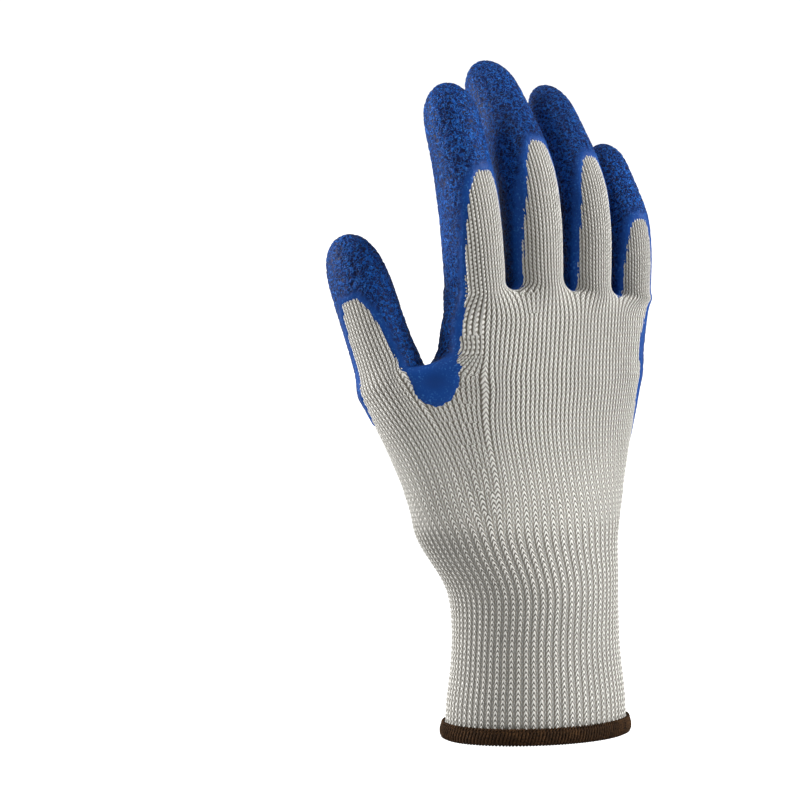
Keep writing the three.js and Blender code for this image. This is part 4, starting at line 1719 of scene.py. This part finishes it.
@dataclass
class CuffHem:
    """Overlocked edge: a dark core round the cuff's edge, thread wrapped over it, and a chain along its top.

    Lengths are in millimetres. The core's section gives out and height, and a wrap's path out, along and height;
    lean multiplies along. A wrap slides and stretches a little at random.
    """

    CORE_SECTION = (
        (-3.0, 1.1), (-2.4, 0.45), (0.9, 0.45), (1.55, 1.1), (1.6, 3.2), (1.2, 5.0), (0.35, 5.6),
        (0.2, 3.0), (-1.6, 3.0), (-1.75, 5.6), (-2.5, 5.2), (-3.1, 3.2),
    )
    WRAP_PATH = (
        (-2.7, 0.0, 5.2), (-3.25, 0.0, 3.0), (-2.9, 0.0, 1.0), (-1.6, 0.05, 0.45), (0.3, 0.1, 0.45),
        (1.45, 0.2, 0.95), (1.85, 0.35, 2.1), (1.85, 0.55, 3.4), (1.55, 0.75, 4.6), (0.85, 0.9, 5.5),
    )

    form: HandForm
    core_steps: int = 120
    sides: int = 6
    wraps: int = 156
    thread: float = 0.5
    lean: float = 1.9
    slide: float = 0.25
    stretch: float = 0.05
    chain_waves: int = 78
    wave_steps: int = 8
    chain_thread: float = 0.36
    chain_out: float = 1.2
    chain_swing: float = 0.3
    chain_height: float = 5.45
    chain_rise: float = 0.7

    def ring(self, count: int) -> list[tuple[Vector, Vector]]:
        """Spaces points evenly round the cuff's edge.

        Args:
            count: number of points.

        Returns:
            Each point with its outward direction.
        """
        form = self.form
        row = form.CUFF[0]
        half_width, half_depth = form.WRIST_WIDTH * row.width / 2, form.WRIST_DEPTH * row.depth / 2
        turn = np.linspace(0, 2 * math.pi, 1440, endpoint=False)
        x, y = half_width * np.cos(turn), half_depth * np.sin(turn)
        steps = np.hypot(np.diff(x, append=x[0]), np.diff(y, append=y[0]))
        run = np.concatenate([[0.0], np.cumsum(steps)])
        angles = np.interp(np.linspace(0, run[-1], count, endpoint=False), run, np.append(turn, 2 * math.pi))
        points = []
        for angle in angles:
            spot = Vector((half_width * math.cos(angle), half_depth * math.sin(angle), 0))
            out = Vector((spot.x / half_width**2, spot.y / half_depth**2, 0)).normalized()
            points.append((spot + Vector((form.WRIST_WIDTH * row.shift, 0, 0)), out))
        return points

    def core(self) -> bmesh.types.BMesh:
        """Makes the core by extruding its section round the edge."""
        bm = bmesh.new()
        made = bmesh.ops.create_circle(bm, cap_ends=False, segments=len(self.CORE_SECTION), radius=1.0)
        first = loop = list(made["verts"])
        for i, (spot, out) in enumerate(self.ring(self.core_steps)):
            if i:
                loop = extruded(bm, loop)
            for vert, (offset, height) in zip(loop, self.CORE_SECTION):
                vert.co = spot + out * offset + Vector((0, 0, height))
        bmesh.ops.bridge_loops(bm, edges=loop_edges(bm, first) + loop_edges(bm, loop))
        return bm

    def wrapped(self) -> bmesh.types.BMesh:
        """Makes one bent thread and repeats it round the edge."""
        bm = bmesh.new()
        points = [Vector((out, along * self.lean, height)) for out, along, height in self.WRAP_PATH]
        swept(bm, points, self.thread, self.sides, Vector((0, 1, 0)), False)
        first = list(bm.verts)
        template = first + list(bm.edges) + list(bm.faces)
        for i, (spot, out) in enumerate(self.ring(self.wraps)):
            jitter = noise.noise(Vector((i * 0.37, 4.1, 0.0)))
            slide = jitter * self.slide
            made = bmesh.ops.duplicate(bm, geom=template)
            verts = [item for item in made["geom"] if isinstance(item, bmesh.types.BMVert)]
            tangent = Vector((-out.y, out.x, 0))
            place = Matrix((
                (out.x, tangent.x, 0, spot.x + tangent.x * slide),
                (out.y, tangent.y, 0, spot.y + tangent.y * slide),
                (0, 0, 1 + self.stretch * jitter, 0),
                (0, 0, 0, 1),
            ))
            bmesh.ops.transform(bm, matrix=place, verts=verts)
        bmesh.ops.delete(bm, geom=first, context="VERTS")
        return bm

    def chain(self) -> bmesh.types.BMesh:
        """Makes the two threads that cross each other along the hem's upper edge."""
        bm = bmesh.new()
        spots = self.ring(self.chain_waves * self.wave_steps)
        for side in (0.0, math.pi):
            path = []
            for i, (spot, out) in enumerate(spots):
                wave = 2 * math.pi * i / self.wave_steps + side
                offset = self.chain_out + self.chain_swing * math.cos(wave)
                height = self.chain_height + self.chain_rise * math.sin(wave)
                path.append(spot + out * offset + Vector((0, 0, height)))
            swept(bm, path, self.chain_thread, self.sides, Vector((0, 0, 1)), True)
        return bm

    def build(self, finish: bpy.types.Material) -> list[bpy.types.Object]:
        """Makes the hem's pieces.

        Args:
            finish: the thread's material.

        Returns:
            The pieces.
        """
        pieces = []
        for name, bm in (("hem_core", self.core()), ("hem_wraps", self.wrapped()), ("hem_chain", self.chain())):
            bmesh.ops.recalc_face_normals(bm, faces=bm.faces)
            bmesh.ops.scale(bm, vec=(MM, MM, MM), verts=bm.verts)
            mesh = bpy.data.meshes.new(name)
            bm.to_mesh(mesh)
            bm.free()
            mesh.polygons.foreach_set("use_smooth", np.ones(len(mesh.polygons), bool))
            mesh.materials.append(finish)
            piece = bpy.data.objects.new(name, mesh)
            bpy.context.scene.collection.objects.link(piece)
            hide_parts("cuff_hem")
            pieces.append(piece)
        return pieces


def outward(azimuth: float, elevation: float) -> Vector:
    """Points away from the object, by degrees round it from its front and degrees above the floor."""
    turn, rise = math.radians(azimuth), math.radians(elevation)
    return Vector((math.sin(turn) * math.cos(rise), -math.cos(turn) * math.cos(rise), math.sin(rise)))


@dataclass(frozen=True)
class Lamp:
    """A square soft light: where it stands in degrees, its side in metres and its power in watts."""

    name: str
    azimuth: float
    elevation: float
    size: float
    power: float


LAMPS = (
    Lamp("key", -124.0, 20.0, 0.8, 40.0),
    Lamp("fill", 56.0, 20.0, 0.8, 33.0),
    Lamp("top", -30.0, 75.0, 0.9, 6.0),
)


@dataclass
class Studio:
    """Camera at the photograph's angle, a pale floor and soft lights. Lengths are in metres, angles in degrees."""

    target: Vector
    azimuth: float = -30.0
    elevation: float = 4.0
    distance: float = 1.3
    aside: float = 0.0475
    lower: float = 0.0014
    view: float = 12.36
    lamp_distance: float = 1.6
    ambient: float = 0.32
    backdrop: float = 1.1
    floor_radius: float = 40.0

    def camera(self) -> None:
        """Sets the camera up, aimed a little beside the object so that it stands where the photograph has it."""
        away = outward(self.azimuth, self.elevation)
        turn = math.radians(self.azimuth)
        right = Vector((math.cos(turn), math.sin(turn), 0))
        up = away.cross(right)
        place = self.target + away * self.distance
        aim = self.target - right * self.aside - up * self.lower
        data = bpy.data.cameras.new("camera")
        data.angle = math.radians(self.view)
        data.clip_start = 0.01
        camera = bpy.data.objects.new("camera", data)
        camera.location = place
        camera.rotation_euler = (aim - place).to_track_quat("-Z", "Y").to_euler()
        bpy.context.scene.collection.objects.link(camera)
        bpy.context.scene.camera = camera

    def light(self, lamp: Lamp) -> None:
        """Adds a lamp that faces the object."""
        away = outward(lamp.azimuth, lamp.elevation)
        data = bpy.data.lights.new(lamp.name, "AREA")
        data.size = lamp.size
        data.energy = lamp.power
        light = bpy.data.objects.new(lamp.name, data)
        light.location = self.target + away * self.lamp_distance
        light.rotation_euler = away.to_track_quat("Z", "Y").to_euler()
        bpy.context.scene.collection.objects.link(light)

    def build(self) -> None:
        """Builds the studio."""
        self.camera()
        for lamp in LAMPS:
            self.light(lamp)
        world = bpy.data.worlds.new("studio")
        world.use_nodes = True
        nodes = Nodes(world.node_tree)
        seen = nodes.add("ShaderNodeLightPath").outputs["Is Camera Ray"]
        strength = nodes.ease(seen, 0.0, 1.0, self.ambient, self.backdrop)
        sky = nodes.add("ShaderNodeBackground", {"Color": (1.0, 1.0, 1.0, 1.0), "Strength": strength})
        nodes.add("ShaderNodeOutputWorld", {"Surface": sky.outputs["Background"]})
        bpy.context.scene.world = world
        bpy.context.scene.view_settings.view_transform = "Standard"
        bm = bmesh.new()
        bmesh.ops.create_circle(bm, cap_ends=True, segments=64, radius=self.floor_radius)
        mesh = bpy.data.meshes.new("floor")
        bm.to_mesh(mesh)
        bm.free()
        mesh.materials.append(FloorFinish("floor_pale").build())
        floor = bpy.data.objects.new("floor", mesh)
        bpy.context.scene.collection.objects.link(floor)


def main() -> None:
    """Builds the glove and its studio."""
    logging.basicConfig(level=logging.INFO, format="%(name)s: %(message)s")
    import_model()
    form = HandForm()
    cage = GloveCage(form).build()
    surface = fitted_surface(cage, 4)
    cover = Coverage(form).ragged(surface.points)
    stitches = stitch_group()
    knit = KnitShell(form, surface, cover)
    pieces = knit.build(KnitFinish("knit_cotton").build(stitches))
    pieces.append(knit.lining(cage, KnitFinish("knit_inside", bump=0.0002).build(stitches)))
    pieces += LatexSkin(form, surface, cover).build(LatexFinish("latex_blue").build())
    pieces += CuffHem(form).build(ThreadFinish("thread_brown").build())
    for piece in pieces:
        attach(piece, "root")
        report_piece(piece)
    Studio(Vector((0, 0, 0.12))).build()


if __name__ == "__main__":
    main()
